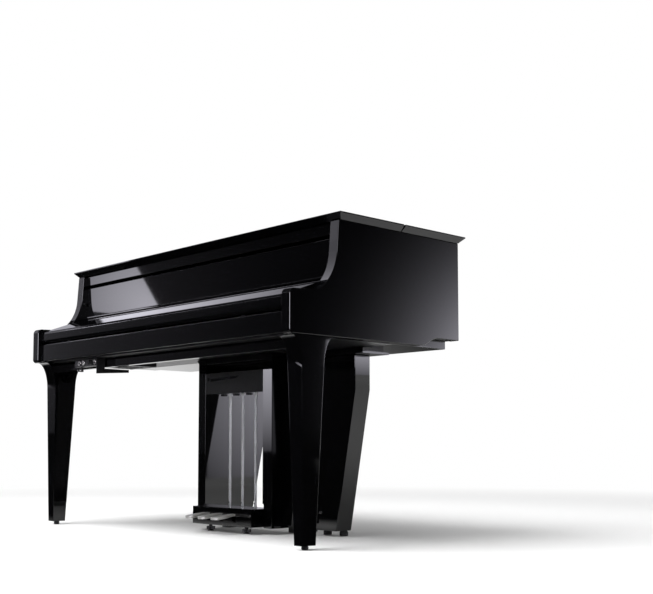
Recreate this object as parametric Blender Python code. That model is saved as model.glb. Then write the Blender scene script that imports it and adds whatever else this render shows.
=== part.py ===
"""Hybrid piano in a black polished case: a short grand-style case on three legs, with a pedal lyre.

Metres, +Z up. The origin is on the floor under the middle of the object. The keyboard faces -Y and the
treble end is at +X. Depths below are counted back from a plane just inside the front of the arms, and
at() turns them into Y.
"""

import math

import bmesh
import bpy
from mathutils import Matrix, Vector

# Clearances
SEAT = 0.0003
RUNNING = 0.0015
KEY_GAP = 0.0009

# Case
LID_OVERHANG = 0.018
LID_REAR_OVERHANG = 0.015
LID_THICK = 0.020
LID_CHAMFER = 0.008
CASE_REAR = 0.721
SIDE_THICK = 0.036
CASE_BOTTOM = 0.602
LID_FRONT = 0.172
LID_SPLIT = 0.447
LID_SPLIT_GAP = 0.0016
PANEL_EDGE = 0.002

# Arms and the sweep of the side panel's front edge
ARM_REACH = 0.006
ARM_TOP = 0.7275
ARM_NOSE_SET_BACK = 0.008
ARM_NOSE_RADIUS = 0.016
ARM_TOP_RISE = 0.004
SWEEP_FOOT = 0.099
SWEEP_RADIUS = 0.150
SWEEP_START = -61
SWEEP_END = -4
CHEEK_TOP_DEPTH = 0.183

# Notch at the rear of the side panel
NOTCH_LENGTH = 0.180
NOTCH_RISE = 0.027
NOTCH_CURVE = 0.075

# Key bed and what stands on it
KEYBED_THICK = 0.032
KEYBED_FRONT = 0.030
KEYBED_REAR = 0.450
BOARD_REAR_INSET = 0.026
KEYSLIP_THICK = 0.021
KEYSLIP_SET_BACK = 0.007
KEYSLIP_TOP = 0.669
KEYSLIP_LIFT = 0.004
SLIP_TO_CHEEK = 0.002
RAIL_DEPTH = 0.078
RAIL_THICK = 0.022
RAIL_DROP = 0.032
LEFT_CHEEK = 0.115
RIGHT_CHEEK = 0.048
CHEEK_HEIGHT = 0.0635

# Keys
WHITE_COUNT = 52
WHITE_PITCH = 0.0235
WHITE_FRONT = 0.050
WHITE_HEAD = 0.050
WHITE_TOP = 0.686
WHITE_THICK = 0.020
KEY_REAR = 0.400
KEY_PIVOT_DEPTH = 0.280
BLACK_WIDTH = 0.0095
BLACK_HEIGHT = 0.011
BLACK_LENGTH = 0.094
BLACK_SLOPE = 0.006
BLACK_STICK_RISE = 0.004
BLACK_REAR = 0.374
BANK_RAIL_LIFT = 0.0013
BANK_RAIL_HEIGHT = 0.008
BANK_RAIL_DEPTH = 0.018
OCTAVE_WHITES = 7
SHARP_AFTER = (0, 2, 3, 5, 6)
FRAME_BASE = 0.006
FRAME_FRONT = 0.062
FRAME_REAR = 0.415
FRAME_FRONT_RAIL = (0.078, 0.034)
FRAME_BALANCE_RIDGE = 0.006
FRAME_REAR_RAIL = (0.378, 0.020)
KEY_TRAVEL = 2.5
KEY_FELT = 0.002
ACTION_FRONT = 0.425
ACTION_DEPTH = 0.060
ACTION_HEIGHT = 0.150

# Fallboard and the front above it
FALLBOARD_THICK = 0.018
FALLBOARD_NOSE_THICK = 0.018
FALLBOARD_NOSE_RADIUS = 0.010
FALLBOARD_FOOT_RADIUS = 0.014
FALLBOARD_GAP = 0.0025
FALLBOARD_PIN = 0.004
FALLBOARD_SLOPE = 20.0
FALLBOARD_PIVOT_DEPTH = 0.1705
FALLBOARD_RISE = 0.0675
NAME_BOARD_THICK = 0.014
NAME_BOARD_CLEAR = 0.0055
NAME_BOARD_DROP = 0.0485
LEDGE_HEIGHT = 0.009
LEDGE_REACH = 0.005
LOWER_PANEL_RISE = 0.0228
LOWER_PANEL_HEIGHT = 0.1117
PANEL_GROOVE = 0.011
UPPER_PANEL_HEIGHT = 0.036
FRONT_PANEL_THICK = 0.014
FRONT_PANEL_DEPTH = 0.198

# Music desk, folded flat under the front leaf
DESK_WIDTH = 0.640
DESK_HEIGHT = 0.170
DESK_THICK = 0.010
DESK_SET_BACK = 0.020
DESK_LIP = 0.012
DESK_LIP_THICK = 0.005
SHELF_THICK = 0.008
SHELF_DEPTH = 0.200

# Lid hinge
HINGE_RADIUS = 0.0025
HINGE_RISE = 0.0010
HINGE_END_INSET = 0.030

# Back and inside
BACK_THICK = 0.012
BACK_INSET = 0.010
SPEAKER_X = 0.430
SPEAKER_FRONT_GAP = 0.043
SPEAKER_REAR_GAP = 0.022
SPEAKER_MARGIN = 0.014
SPEAKER_HEIGHT = 0.062

# Front legs
LEG_GLIDE_HEIGHT = 0.012
LEG_SHOULDER = 0.505
LEG_INSET = 0.010
LEG_HEAD_WIDTH = 0.062
LEG_FOOT_INSET = 0.018
LEG_FOOT_WIDTH = 0.037
LEG_FRONT_TOP = 0.050
LEG_FRONT_FOOT = 0.060
LEG_REAR_TOP = 0.134
LEG_REAR_FOOT = 0.110
LEG_FLARE = 0.040
LEG_FLARE_STEPS = 9
LEG_EDGE = 0.004
GLIDE_RADIUS = 0.010

# Rear leg
REAR_LEG_FRONT = 0.440
REAR_LEG_THICK = 0.068
REAR_LEG_INSET = 0.193
REAR_LEG_WIDTH = 0.275
REAR_LEG_RIGHT_TAPER = 0.087
REAR_LEG_LEFT_TAPER = 0.078
REAR_LEG_BEND = 0.470
REAR_LEG_FOOT = 0.018
REAR_BLOCK_HEIGHT = 0.014
REAR_BLOCK_MARGIN = 0.060
REAR_PLATE_MARGIN = 0.026
REAR_PLATE_HEIGHT = 0.007
REAR_GLIDE_RADIUS = 0.014
REAR_GLIDE_INSET = 0.017

# Pedal lyre
LYRE_MIDDLE = 0.0465
LYRE_WIDTH = 0.405
LYRE_BOARD_THICK = 0.042
LYRE_FOOT_RUN = 0.004
LYRE_FRONT = 0.340
LYRE_REAR_INSET = 0.051
LYRE_REAR_SLANT = 0.120
LYRE_BOARD_FOOT = 0.020
LYRE_FOOT_FRONT = 0.450
TOP_PLATE_THICK = 0.022
TOP_RECESS_HEIGHT = 0.035
TOP_RECESS_DEPTH = 0.030
TOP_PANEL_HEIGHT = 0.072
TOP_PANEL_THICK = 0.012
TOP_BOX_DEPTH = 0.060
PEDAL_BOX_REACH = 0.052
PEDAL_BOX_DEPTH = 0.110
PEDAL_BOX_BOTTOM = 0.024
PEDAL_BOX_TOP = 0.084
PEDAL_BOX_WALL = 0.010
PEDAL_SPACING = 0.070
PEDAL_LENGTH = 0.150
PEDAL_REACH = 0.092
PEDAL_TOE_WIDTH = 0.038
PEDAL_SHANK_WIDTH = 0.018
PEDAL_THICK = 0.007
PEDAL_HEIGHT = 0.062
PEDAL_TRAVEL = 8.0
PEDAL_RIDGE = 0.003
ROD_RADIUS = 0.0045
ROD_SET_BACK = 0.041
ADJUSTER_INSET = 0.0622
ADJUSTER_SET_BACK = 0.032
ADJUSTER_HEAD = 0.016
ADJUSTER_HEAD_HEIGHT = 0.008
ADJUSTER_SCREW = 0.005

# Controls and boxes
DISPLAY_LENGTH = 0.090
DISPLAY_WIDTH = 0.060
DISPLAY_THICK = 0.003
DISPLAY_DEPTH = 0.060
BUTTON_RADIUS = 0.007
BUTTON_HEIGHT = 0.006
BUTTON_TRAVEL = 0.002
BUTTON_DEPTH = 0.045
KNOB_RADIUS = 0.010
KNOB_HEIGHT = 0.010
KNOB_DEPTH = 0.078
JACK_INSET = 0.230
JACK_LENGTH = 0.150
JACK_FRONT = 0.040
JACK_DEPTH = 0.034
JACK_HEIGHT = 0.026
JACK_HOLE = 0.0035
JACK_EDGE = 0.001
JACK_ARM_THICK = 0.004
JACK_ARM_LENGTH = 0.132
JACK_ARM_DROP = 0.029
JACK_ARM_REAR_DROP = 0.0205
JACK_ARM_CLEAR = 0.0105
HOOK_INSET = 0.016
HOOK_DROP = 0.016
HOOK_WIDTH = 0.008
ELECTRONICS_INSET = 0.195
ELECTRONICS_LENGTH = 0.165
ELECTRONICS_FRONT = 0.105
ELECTRONICS_DEPTH = 0.200
ELECTRONICS_HEIGHT = 0.0185
INLET_WIDTH = 0.022
INLET_HEIGHT = 0.011
INLET_DEPTH = 0.018

ROUND_SIDES = 32

# Worked out from the values above
DEPTH = ARM_REACH + CASE_REAR + LID_REAR_OVERHANG
LID_REAR = CASE_REAR + LID_REAR_OVERHANG
INNER_HALF = (LEFT_CHEEK + WHITE_COUNT * WHITE_PITCH + RIGHT_CHEEK) / 2 + RUNNING
CASE_HALF = INNER_HALF + SIDE_THICK
LID_WIDTH = 2 * (CASE_HALF + LID_OVERHANG)
BED_TOP = CASE_BOTTOM + KEYBED_THICK
BOARD_THICK = NOTCH_RISE - SEAT
KEYS_LEFT = -INNER_HALF + LEFT_CHEEK + RUNNING
KEYS_RIGHT = KEYS_LEFT + WHITE_COUNT * WHITE_PITCH
KEY_BOTTOM = WHITE_TOP - WHITE_THICK
WHITE_TAIL_FRONT = WHITE_FRONT + WHITE_HEAD
SHARP_FRONT = WHITE_TAIL_FRONT + 2 * KEY_GAP
SHARP_TOP = WHITE_TOP + BLACK_HEIGHT
FALLBOARD_PIVOT_HEIGHT = SHARP_TOP + FALLBOARD_RISE
NAME_BOARD_BOTTOM = FALLBOARD_PIVOT_HEIGHT - NAME_BOARD_DROP
LOWER_PANEL_BOTTOM = FALLBOARD_PIVOT_HEIGHT + LOWER_PANEL_RISE
LOWER_PANEL_TOP = LOWER_PANEL_BOTTOM + LOWER_PANEL_HEIGHT
UPPER_PANEL_BOTTOM = LOWER_PANEL_TOP + PANEL_GROOVE
NAME_BOARD_DEPTH = FALLBOARD_PIVOT_DEPTH + FALLBOARD_THICK / 2 + NAME_BOARD_CLEAR
LID_TOP = UPPER_PANEL_BOTTOM + UPPER_PANEL_HEIGHT + LID_THICK
CASE_TOP = LID_TOP - LID_THICK - SEAT
LID_AXIS = LID_TOP + HINGE_RISE
LEG_OUTER_TOP = CASE_HALF - LEG_INSET
LEG_INNER_TOP = LEG_OUTER_TOP - LEG_HEAD_WIDTH
LEG_OUTER_FOOT = CASE_HALF - LEG_FOOT_INSET
LEG_INNER_FOOT = LEG_OUTER_FOOT - LEG_FOOT_WIDTH
REAR_LEG_RIGHT = CASE_HALF - REAR_LEG_INSET
REAR_LEG_LEFT = REAR_LEG_RIGHT - REAR_LEG_WIDTH
REAR_LEG_RIGHT_FOOT = REAR_LEG_RIGHT - REAR_LEG_RIGHT_TAPER
REAR_LEG_LEFT_FOOT = REAR_LEG_LEFT + REAR_LEG_LEFT_TAPER
LYRE_REAR_TOP = CASE_REAR - LYRE_REAR_INSET
LYRE_REAR_FOOT = LYRE_REAR_TOP - LYRE_REAR_SLANT
ROD_DEPTH = LYRE_FRONT + ROD_SET_BACK
PEDAL_BOX_FRONT = LYRE_FRONT - PEDAL_BOX_REACH
ADJUSTER_DEPTH = PEDAL_BOX_FRONT + ADJUSTER_SET_BACK
JACK_LEFT = -CASE_HALF + JACK_INSET
JACK_X = (JACK_LEFT, JACK_LEFT + JACK_LENGTH)
HOOK_X = JACK_LEFT + HOOK_INSET
ELECTRONICS_LEFT = -CASE_HALF + ELECTRONICS_INSET
ELECTRONICS_X = (ELECTRONICS_LEFT, ELECTRONICS_LEFT + ELECTRONICS_LENGTH)
SPEAKER_FRONT = KEYBED_REAR + SPEAKER_FRONT_GAP
SPEAKER_REAR = CASE_REAR - BACK_INSET - BACK_THICK - SPEAKER_REAR_GAP
SPEAKER_DEPTH = (SPEAKER_FRONT + SPEAKER_REAR) / 2
SPEAKER_RADIUS = (SPEAKER_REAR - SPEAKER_FRONT) / 2 - SPEAKER_MARGIN
PEDAL_BOX_WIDTH = LYRE_WIDTH - 2 * LYRE_BOARD_THICK - 2 * SEAT
ADJUSTER_SPACING = PEDAL_BOX_WIDTH - 2 * ADJUSTER_INSET
DESK_PIVOT_DEPTH = FRONT_PANEL_DEPTH + FRONT_PANEL_THICK + DESK_SET_BACK
DESK_AXIS = UPPER_PANEL_BOTTOM + SHELF_THICK + SEAT + DESK_THICK / 2


def at(depth):
    """Y of a place this far behind the plane that the depths are counted from."""
    return depth + ARM_REACH - DEPTH / 2


def clear_scene():
    """Removes what the file holds before the model is made."""
    for obj in list(bpy.data.objects):
        bpy.data.objects.remove(obj, do_unlink=True)


def material(name, colour, roughness, metallic=0.0):
    """A plain surface of one colour."""
    made = bpy.data.materials.get(name) or bpy.data.materials.new(name)
    made.use_nodes = True
    made.diffuse_color = (*colour, 1.0)
    shader = made.node_tree.nodes["Principled BSDF"]
    shader.inputs["Base Color"].default_value = (*colour, 1.0)
    shader.inputs["Roughness"].default_value = roughness
    shader.inputs["Metallic"].default_value = metallic
    return made


def polish():
    return material("black_polish", (0.008, 0.008, 0.009), 0.08)


def satin_black():
    return material("satin_black", (0.02, 0.02, 0.021), 0.45)


def chrome():
    return material("polished_metal", (0.75, 0.76, 0.78), 0.12, 1.0)


def rubber():
    return material("black_rubber", (0.02, 0.02, 0.02), 0.8)


def timber():
    return material("spruce", (0.55, 0.40, 0.24), 0.6)


def white_key():
    return material("white_key", (0.86, 0.85, 0.80), 0.25)


def black_key():
    return material("black_key", (0.015, 0.015, 0.016), 0.3)


def link(name, bm, finish, origin=(0.0, 0.0, 0.0)):
    """Turns a bmesh that is in place into a named object whose origin is at a chosen point."""
    bmesh.ops.recalc_face_normals(bm, faces=bm.faces)
    bmesh.ops.translate(bm, verts=bm.verts, vec=-Vector(origin))
    mesh = bpy.data.meshes.new(name)
    bm.to_mesh(mesh)
    bm.free()
    mesh.materials.append(finish)
    mesh.shade_smooth()
    mesh.set_sharp_from_angle(angle=math.radians(35))
    made = bpy.data.objects.new(name, mesh)
    made.location = origin
    bpy.context.scene.collection.objects.link(made)
    return made


def bevelled(obj, width, segments=2):
    """Rounds the edges of an object with a live modifier."""
    rounding = obj.modifiers.new("edges", "BEVEL")
    rounding.width = width
    rounding.segments = segments
    rounding.limit_method = "ANGLE"
    rounding.angle_limit = math.radians(40)
    return obj


def hide_cutter(obj):
    """Marks an object as a cutting tool."""
    obj.hide_render = True
    obj.display_type = "WIRE"
    return obj


def cut(obj, cutter):
    """Cuts one object out of another, before any rounding of edges."""
    hide_cutter(cutter)
    boolean = obj.modifiers.new(f"cut_{cutter.name}", "BOOLEAN")
    boolean.operation = "DIFFERENCE"
    boolean.object = cutter
    boolean.solver = "EXACT"
    return obj


def join(obj, other):
    """Makes another shape part of an object's one body."""
    hide_cutter(other)
    boolean = obj.modifiers.new("join", "BOOLEAN")
    boolean.operation = "UNION"
    boolean.object = other
    boolean.solver = "EXACT"
    return obj


def add_block(bm, low, high):
    """Adds a box between two corners to a bmesh."""
    made = bmesh.ops.create_cube(bm, size=1.0)
    size = [high[i] - low[i] for i in range(3)]
    middle = [(high[i] + low[i]) / 2 for i in range(3)]
    bmesh.ops.scale(bm, vec=size, verts=made["verts"])
    bmesh.ops.translate(bm, vec=middle, verts=made["verts"])


def block(name, x, depth, z, finish, origin=(0.0, 0.0, 0.0)):
    """A box given by its ranges across, behind the arms' front, and up."""
    bm = bmesh.new()
    add_block(bm, (x[0], at(depth[0]), z[0]), (x[1], at(depth[1]), z[1]))
    return link(name, bm, finish, origin)


def add_prism(bm, outline, start, end, along="X"):
    """Adds a closed outline drawn out between two places. An outline in X's case is (depth, height)."""
    points = []
    for a, b in outline:
        points.append((start, at(a), b) if along == "X" else (a, b, start))
    corners = [bm.verts.new(point) for point in points]
    face = bm.faces.new(corners)
    moved = bmesh.ops.extrude_face_region(bm, geom=[face])
    step = (end - start, 0, 0) if along == "X" else (0, 0, end - start)
    verts = [item for item in moved["geom"] if isinstance(item, bmesh.types.BMVert)]
    bmesh.ops.translate(bm, vec=step, verts=verts)


def prism(name, outline, start, end, finish, along="X", origin=(0.0, 0.0, 0.0)):
    """An object made by drawing out a closed outline."""
    bm = bmesh.new()
    add_prism(bm, outline, start, end, along)
    return link(name, bm, finish, origin)


def add_cylinder(bm, centre, radius, length, axis="Z", sides=ROUND_SIDES):
    """Adds a cylinder that starts at a centre and runs up or along an axis."""
    made = bmesh.ops.create_cone(
        bm, cap_ends=True, segments=sides, radius1=radius, radius2=radius, depth=length
    )
    bmesh.ops.translate(bm, vec=(0, 0, length / 2), verts=made["verts"])
    turn = {"X": (0, 90), "Y": (-90, 0), "Z": (0, 0)}[axis]
    for angle, name in zip(turn, ("X", "Y")):
        spin_about(bm, made["verts"], angle, name)
    bmesh.ops.translate(bm, vec=centre, verts=made["verts"])


def spin_about(bm, verts, angle, axis, centre=(0, 0, 0)):
    """Turns some vertices about an axis through a point."""
    direction = {"X": (1, 0, 0), "Y": (0, 1, 0), "Z": (0, 0, 1)}[axis]
    turn = Matrix.Rotation(math.radians(angle), 3, direction)
    bmesh.ops.rotate(bm, cent=centre, matrix=turn, verts=verts)


def turned(name, profile, centre, finish, sides=ROUND_SIDES, origin=None):
    """A turned piece from a profile of (radius, height) that starts and ends on the axis."""
    bm = bmesh.new()
    verts = [bm.verts.new((radius, 0, height)) for radius, height in profile]
    edges = [bm.edges.new(pair) for pair in zip(verts, verts[1:])]
    bmesh.ops.spin(
        bm,
        geom=verts + edges,
        cent=(0, 0, 0),
        axis=(0, 0, 1),
        angle=math.tau,
        steps=sides,
        use_merge=True,
    )
    bmesh.ops.remove_doubles(bm, verts=bm.verts, dist=0.00001)
    bmesh.ops.translate(bm, vec=centre, verts=bm.verts)
    return link(name, bm, finish, centre if origin is None else origin)


def arc(centre, radius, start, end, steps):
    """Points along a circle, angles in degrees from the depth axis towards up."""
    points = []
    for step in range(steps + 1):
        angle = math.radians(start + (end - start) * step / steps)
        points.append((centre[0] + radius * math.cos(angle), centre[1] + radius * math.sin(angle)))
    return points


def rounded(corners, steps=6):
    """An outline whose corners are (depth, height, radius), with an arc at each corner that has a radius."""
    points = []
    for index, (depth, height, radius) in enumerate(corners):
        corner = Vector((depth, height))
        if not radius:
            points.append(tuple(corner))
            continue
        before = (Vector(corners[index - 1][:2]) - corner).normalized()
        after = (Vector(corners[(index + 1) % len(corners)][:2]) - corner).normalized()
        half = before.angle(after) / 2
        reach = radius / math.tan(half)
        centre = corner + (before + after).normalized() * radius / math.sin(half)
        start = corner + before * reach - centre
        end = corner + after * reach - centre
        for step in range(steps + 1):
            direction = start.slerp(end, step / steps).normalized()
            points.append(tuple(centre + direction * radius))
    return points


def lofted(name, sections, finish, origin=(0.0, 0.0, 0.0)):
    """A body through level rectangles, each (left, right, front depth, rear depth, height)."""
    bm = bmesh.new()
    rings = []
    for left, right, front, rear, height in sections:
        corners = ((left, front), (right, front), (right, rear), (left, rear))
        rings.append([bm.verts.new((x, at(depth), height)) for x, depth in corners])
    for lower, upper in zip(rings, rings[1:]):
        for corner in range(4):
            after = (corner + 1) % 4
            bm.faces.new((lower[corner], lower[after], upper[after], upper[corner]))
    bm.faces.new(rings[0])
    bm.faces.new(rings[-1])
    return link(name, bm, finish, origin)


def side_outline():
    """The side panel seen from the treble side: arm, sweep up to the lid, and the notch at the rear."""
    arm_end = ARM_TOP + ARM_TOP_RISE
    nose = [
        (ARM_NOSE_SET_BACK - ARM_REACH, CASE_BOTTOM, 0),
        (-ARM_REACH, CASE_BOTTOM + ARM_NOSE_SET_BACK, 0.004),
        (-ARM_REACH, ARM_TOP, ARM_NOSE_RADIUS),
        (SWEEP_FOOT, arm_end, 0),
    ]
    start = math.radians(SWEEP_START)
    centre_depth = SWEEP_FOOT - SWEEP_RADIUS * math.cos(start)
    centre_height = arm_end - SWEEP_RADIUS * math.sin(start)
    sweep = arc((centre_depth, centre_height), SWEEP_RADIUS, SWEEP_START, SWEEP_END, 10)
    top = [(CHEEK_TOP_DEPTH, CASE_TOP), (CASE_REAR, CASE_TOP)]
    notch_start = CASE_REAR - NOTCH_LENGTH
    notch = [(CASE_REAR, CASE_BOTTOM + NOTCH_RISE)]
    steps = 8
    for step in range(steps, -1, -1):
        part = step / steps
        rise = NOTCH_RISE * (1 - math.cos(math.pi * part)) / 2
        notch.append((notch_start + NOTCH_CURVE * part, CASE_BOTTOM + rise))
    return rounded(nose)[:-1] + sweep + top + notch


def make_sides():
    """The two side panels."""
    for name, inner in (("side_panel_left", -CASE_HALF), ("side_panel_right", INNER_HALF)):
        panel = prism(name, side_outline(), inner, inner + SIDE_THICK, polish())
        bevelled(panel, PANEL_EDGE)


def make_case():
    """The level boards and the rails between the sides."""
    width = (-INNER_HALF + SEAT, INNER_HALF - SEAT)
    block("keybed", width, (KEYBED_FRONT, KEYBED_REAR), (CASE_BOTTOM, BED_TOP), satin_black())
    board_depth = (KEYBED_REAR + SEAT, CASE_REAR - BOARD_REAR_INSET)
    board_height = (CASE_BOTTOM, CASE_BOTTOM + BOARD_THICK)
    block("bottom_board", width, board_depth, board_height, polish())
    slip_front = KEYSLIP_SET_BACK
    slip = [
        (slip_front, CASE_BOTTOM + KEYSLIP_LIFT, 0.003),
        (slip_front, KEYSLIP_TOP, 0.004),
        (slip_front + KEYSLIP_THICK, KEYSLIP_TOP, 0.002),
        (slip_front + KEYSLIP_THICK, CASE_BOTTOM + KEYSLIP_LIFT, 0),
    ]
    prism("keyslip", rounded(slip, 3), *width, polish())
    rail_half = LEG_INNER_TOP - RUNNING
    rail_depth = (RAIL_DEPTH, RAIL_DEPTH + RAIL_THICK)
    rail_height = (CASE_BOTTOM - RAIL_DROP, CASE_BOTTOM - SEAT)
    rail = block("front_rail", (-rail_half, rail_half), rail_depth, rail_height, polish())
    bevelled(rail, PANEL_EDGE)
    rear_face = CASE_REAR - BACK_INSET
    back_height = (CASE_BOTTOM + NOTCH_RISE, CASE_TOP)
    block("back_panel", width, (rear_face - BACK_THICK, rear_face), back_height, satin_black())


def make_cheeks():
    """The blocks at both ends of the keys, with the power button's hole in the treble one."""
    depth = (KEYSLIP_SET_BACK + KEYSLIP_THICK + SLIP_TO_CHEEK, NAME_BOARD_DEPTH - SEAT)
    height = (BED_TOP + SEAT, BED_TOP + CHEEK_HEIGHT)
    left = (-INNER_HALF + SEAT, -INNER_HALF + LEFT_CHEEK)
    right = (KEYS_RIGHT + RUNNING, INNER_HALF - SEAT)
    block("cheek_block_left", left, depth, height, polish())
    cheek = block("cheek_block_right", right, depth, height, polish())
    bm = bmesh.new()
    hole_foot = BED_TOP + CHEEK_HEIGHT - BUTTON_HEIGHT
    centre = (treble_cheek_x(), at(BUTTON_DEPTH), hole_foot)
    add_cylinder(bm, centre, BUTTON_RADIUS + 0.0005, BUTTON_HEIGHT * 2)
    cut(cheek, link("power_button_hole", bm, satin_black()))


def treble_cheek_x():
    """The middle of the treble cheek block."""
    return (KEYS_RIGHT + RUNNING + INNER_HALF) / 2


def make_controls():
    """The touch display, the power button and the volume knob."""
    cheek_top = BED_TOP + CHEEK_HEIGHT
    middle = -INNER_HALF + LEFT_CHEEK / 2
    across = (middle - DISPLAY_WIDTH / 2, middle + DISPLAY_WIDTH / 2)
    depth = (DISPLAY_DEPTH, DISPLAY_DEPTH + DISPLAY_LENGTH)
    height = (cheek_top + SEAT, cheek_top + SEAT + DISPLAY_THICK)
    bevelled(block("touch_display", across, depth, height, satin_black()), 0.0008)
    foot = cheek_top - BUTTON_TRAVEL - 0.001
    button = [(0, foot), (BUTTON_RADIUS, foot), (BUTTON_RADIUS, cheek_top + 0.003), (0, cheek_top + 0.0035)]
    place = (treble_cheek_x(), at(BUTTON_DEPTH), 0)
    turned("power_button", button, place, satin_black())
    knob_foot = cheek_top + SEAT
    knob_top = knob_foot + KNOB_HEIGHT
    knob = [
        (0, knob_foot),
        (KNOB_RADIUS, knob_foot),
        (KNOB_RADIUS - 0.001, knob_top - 0.001),
        (KNOB_RADIUS - 0.002, knob_top),
        (0, knob_top),
    ]
    turned("volume_knob", knob, (treble_cheek_x(), at(KNOB_DEPTH), 0), satin_black())


def has_sharp(white):
    """Whether a black key stands between this white key and the next."""
    return 0 <= white < WHITE_COUNT - 1 and white % OCTAVE_WHITES in SHARP_AFTER


def white_edges(white):
    """Left and right of the head, then of the narrower tail, of one white key."""
    left = KEYS_LEFT + white * WHITE_PITCH + KEY_GAP / 2
    right = left + WHITE_PITCH - KEY_GAP
    room = BLACK_WIDTH / 2 + KEY_GAP / 2
    tail_left = left + (room if has_sharp(white - 1) else 0)
    tail_right = right - (room if has_sharp(white) else 0)
    return left, right, tail_left, tail_right


def white_plan(white, rear):
    """The outline of one white key from above, open at the rear, from left to right."""
    left, right, tail_left, tail_right = white_edges(white)
    front = at(WHITE_FRONT)
    step = at(WHITE_TAIL_FRONT)
    plan = [(tail_left, at(rear))]
    if tail_left > left:
        plan += [(tail_left, step), (left, step)]
    plan += [(left, front), (right, front)]
    if tail_right < right:
        plan += [(right, step), (tail_right, step)]
    return plan + [(tail_right, at(rear))]


def key_pivot():
    """A point on the line that every key turns about."""
    return (0.0, at(KEY_PIVOT_DEPTH), KEY_BOTTOM)


def black_outline():
    """A black key from the side: sloped head and a lower stick behind it."""
    head_top = SHARP_TOP
    head_rear = SHARP_FRONT + BLACK_LENGTH
    stick_top = WHITE_TOP + BLACK_STICK_RISE
    corners = [
        (SHARP_FRONT, KEY_BOTTOM, 0),
        (SHARP_FRONT, WHITE_TOP, 0),
        (SHARP_FRONT + BLACK_SLOPE, head_top, 0.0015),
        (head_rear, head_top, 0),
        (head_rear, stick_top, 0),
        (BLACK_REAR, stick_top, 0),
        (BLACK_REAR, KEY_BOTTOM, 0),
    ]
    return rounded(corners, 3)


def black_x(white):
    """The middle of the black key that follows a white key."""
    return KEYS_LEFT + (white + 1) * WHITE_PITCH


def make_octave():
    """The lowest twelve keys, each a piece of its own."""
    for white in range(OCTAVE_WHITES):
        name = f"white_key_{white + 1}"
        plan = white_plan(white, KEY_REAR)
        prism(name, plan, KEY_BOTTOM, WHITE_TOP, white_key(), "Z", key_pivot())
        if has_sharp(white):
            left = black_x(white) - BLACK_WIDTH / 2
            span = (left, left + BLACK_WIDTH)
            prism(f"black_key_{white + 1}", black_outline(), *span, black_key(), origin=key_pivot())


def make_banks():
    """The other keys: the white ones as one comb, the black ones on one rail over the pivot line."""
    rail_front = KEY_REAR - BANK_RAIL_DEPTH
    comb = []
    for white in range(OCTAVE_WHITES, WHITE_COUNT):
        comb += white_plan(white, rail_front)
    right = comb[-1][0]
    left = comb[0][0]
    comb += [(right, at(KEY_REAR)), (left, at(KEY_REAR))]
    prism("white_key_bank", comb, KEY_BOTTOM, WHITE_TOP, white_key(), "Z", key_pivot())
    bm = bmesh.new()
    sharps = [white for white in range(OCTAVE_WHITES, WHITE_COUNT) if has_sharp(white)]
    for white in sharps:
        start = black_x(white) - BLACK_WIDTH / 2
        add_prism(bm, black_outline(), start, start + BLACK_WIDTH)
    bank = link("black_key_bank", bm, black_key(), key_pivot())
    low = WHITE_TOP + BANK_RAIL_LIFT
    across = (black_x(sharps[0]) - BLACK_WIDTH, black_x(sharps[-1]) + BLACK_WIDTH)
    depth = (KEY_PIVOT_DEPTH - BANK_RAIL_DEPTH / 2, KEY_PIVOT_DEPTH + BANK_RAIL_DEPTH / 2)
    join(bank, block("black_bank_rail", across, depth, (low, low + BANK_RAIL_HEIGHT), black_key()))


def make_key_frame():
    """The frame that carries the keys: front rail, a narrow balance ridge and the rear rail."""
    floor = BED_TOP + SEAT
    base = floor + FRAME_BASE
    dip = (KEY_PIVOT_DEPTH - WHITE_FRONT) * math.sin(math.radians(KEY_TRAVEL))
    front_top = KEY_BOTTOM - dip - KEY_FELT
    ridge = KEY_PIVOT_DEPTH - FRAME_BALANCE_RIDGE / 2
    rails = [
        (*FRAME_FRONT_RAIL, front_top),
        (ridge, FRAME_BALANCE_RIDGE, KEY_BOTTOM - SEAT),
        (*FRAME_REAR_RAIL, KEY_BOTTOM - SEAT),
    ]
    outline = [(FRAME_FRONT, floor), (FRAME_FRONT, base)]
    for front, width, top in rails:
        outline += [(front, base), (front, top), (front + width, top), (front + width, base)]
    outline += [(FRAME_REAR, base), (FRAME_REAR, floor)]
    prism("key_frame", outline, KEYS_LEFT, KEYS_RIGHT, timber())


def make_action():
    """The rack of hammers behind the keys, as its housing."""
    floor = BED_TOP + SEAT
    rear = ACTION_FRONT + ACTION_DEPTH
    outline = [
        (ACTION_FRONT, floor),
        (ACTION_FRONT, floor + ACTION_HEIGHT * 0.55),
        (ACTION_FRONT + ACTION_DEPTH * 0.4, floor + ACTION_HEIGHT),
        (rear, floor + ACTION_HEIGHT),
        (rear, floor + ACTION_HEIGHT * 0.7),
        (KEYBED_REAR - SEAT, floor),
    ]
    prism("action_rack", outline, KEYS_LEFT, KEYS_RIGHT, timber())


def fallboard_height(depth, side):
    """Height of the sloped board's upper (side 1) or lower (side -1) face at a depth."""
    slope = math.radians(FALLBOARD_SLOPE)
    offset = side * FALLBOARD_THICK / 2 / math.cos(slope)
    return FALLBOARD_PIVOT_HEIGHT + offset - (FALLBOARD_PIVOT_DEPTH - depth) * math.tan(slope)


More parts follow.
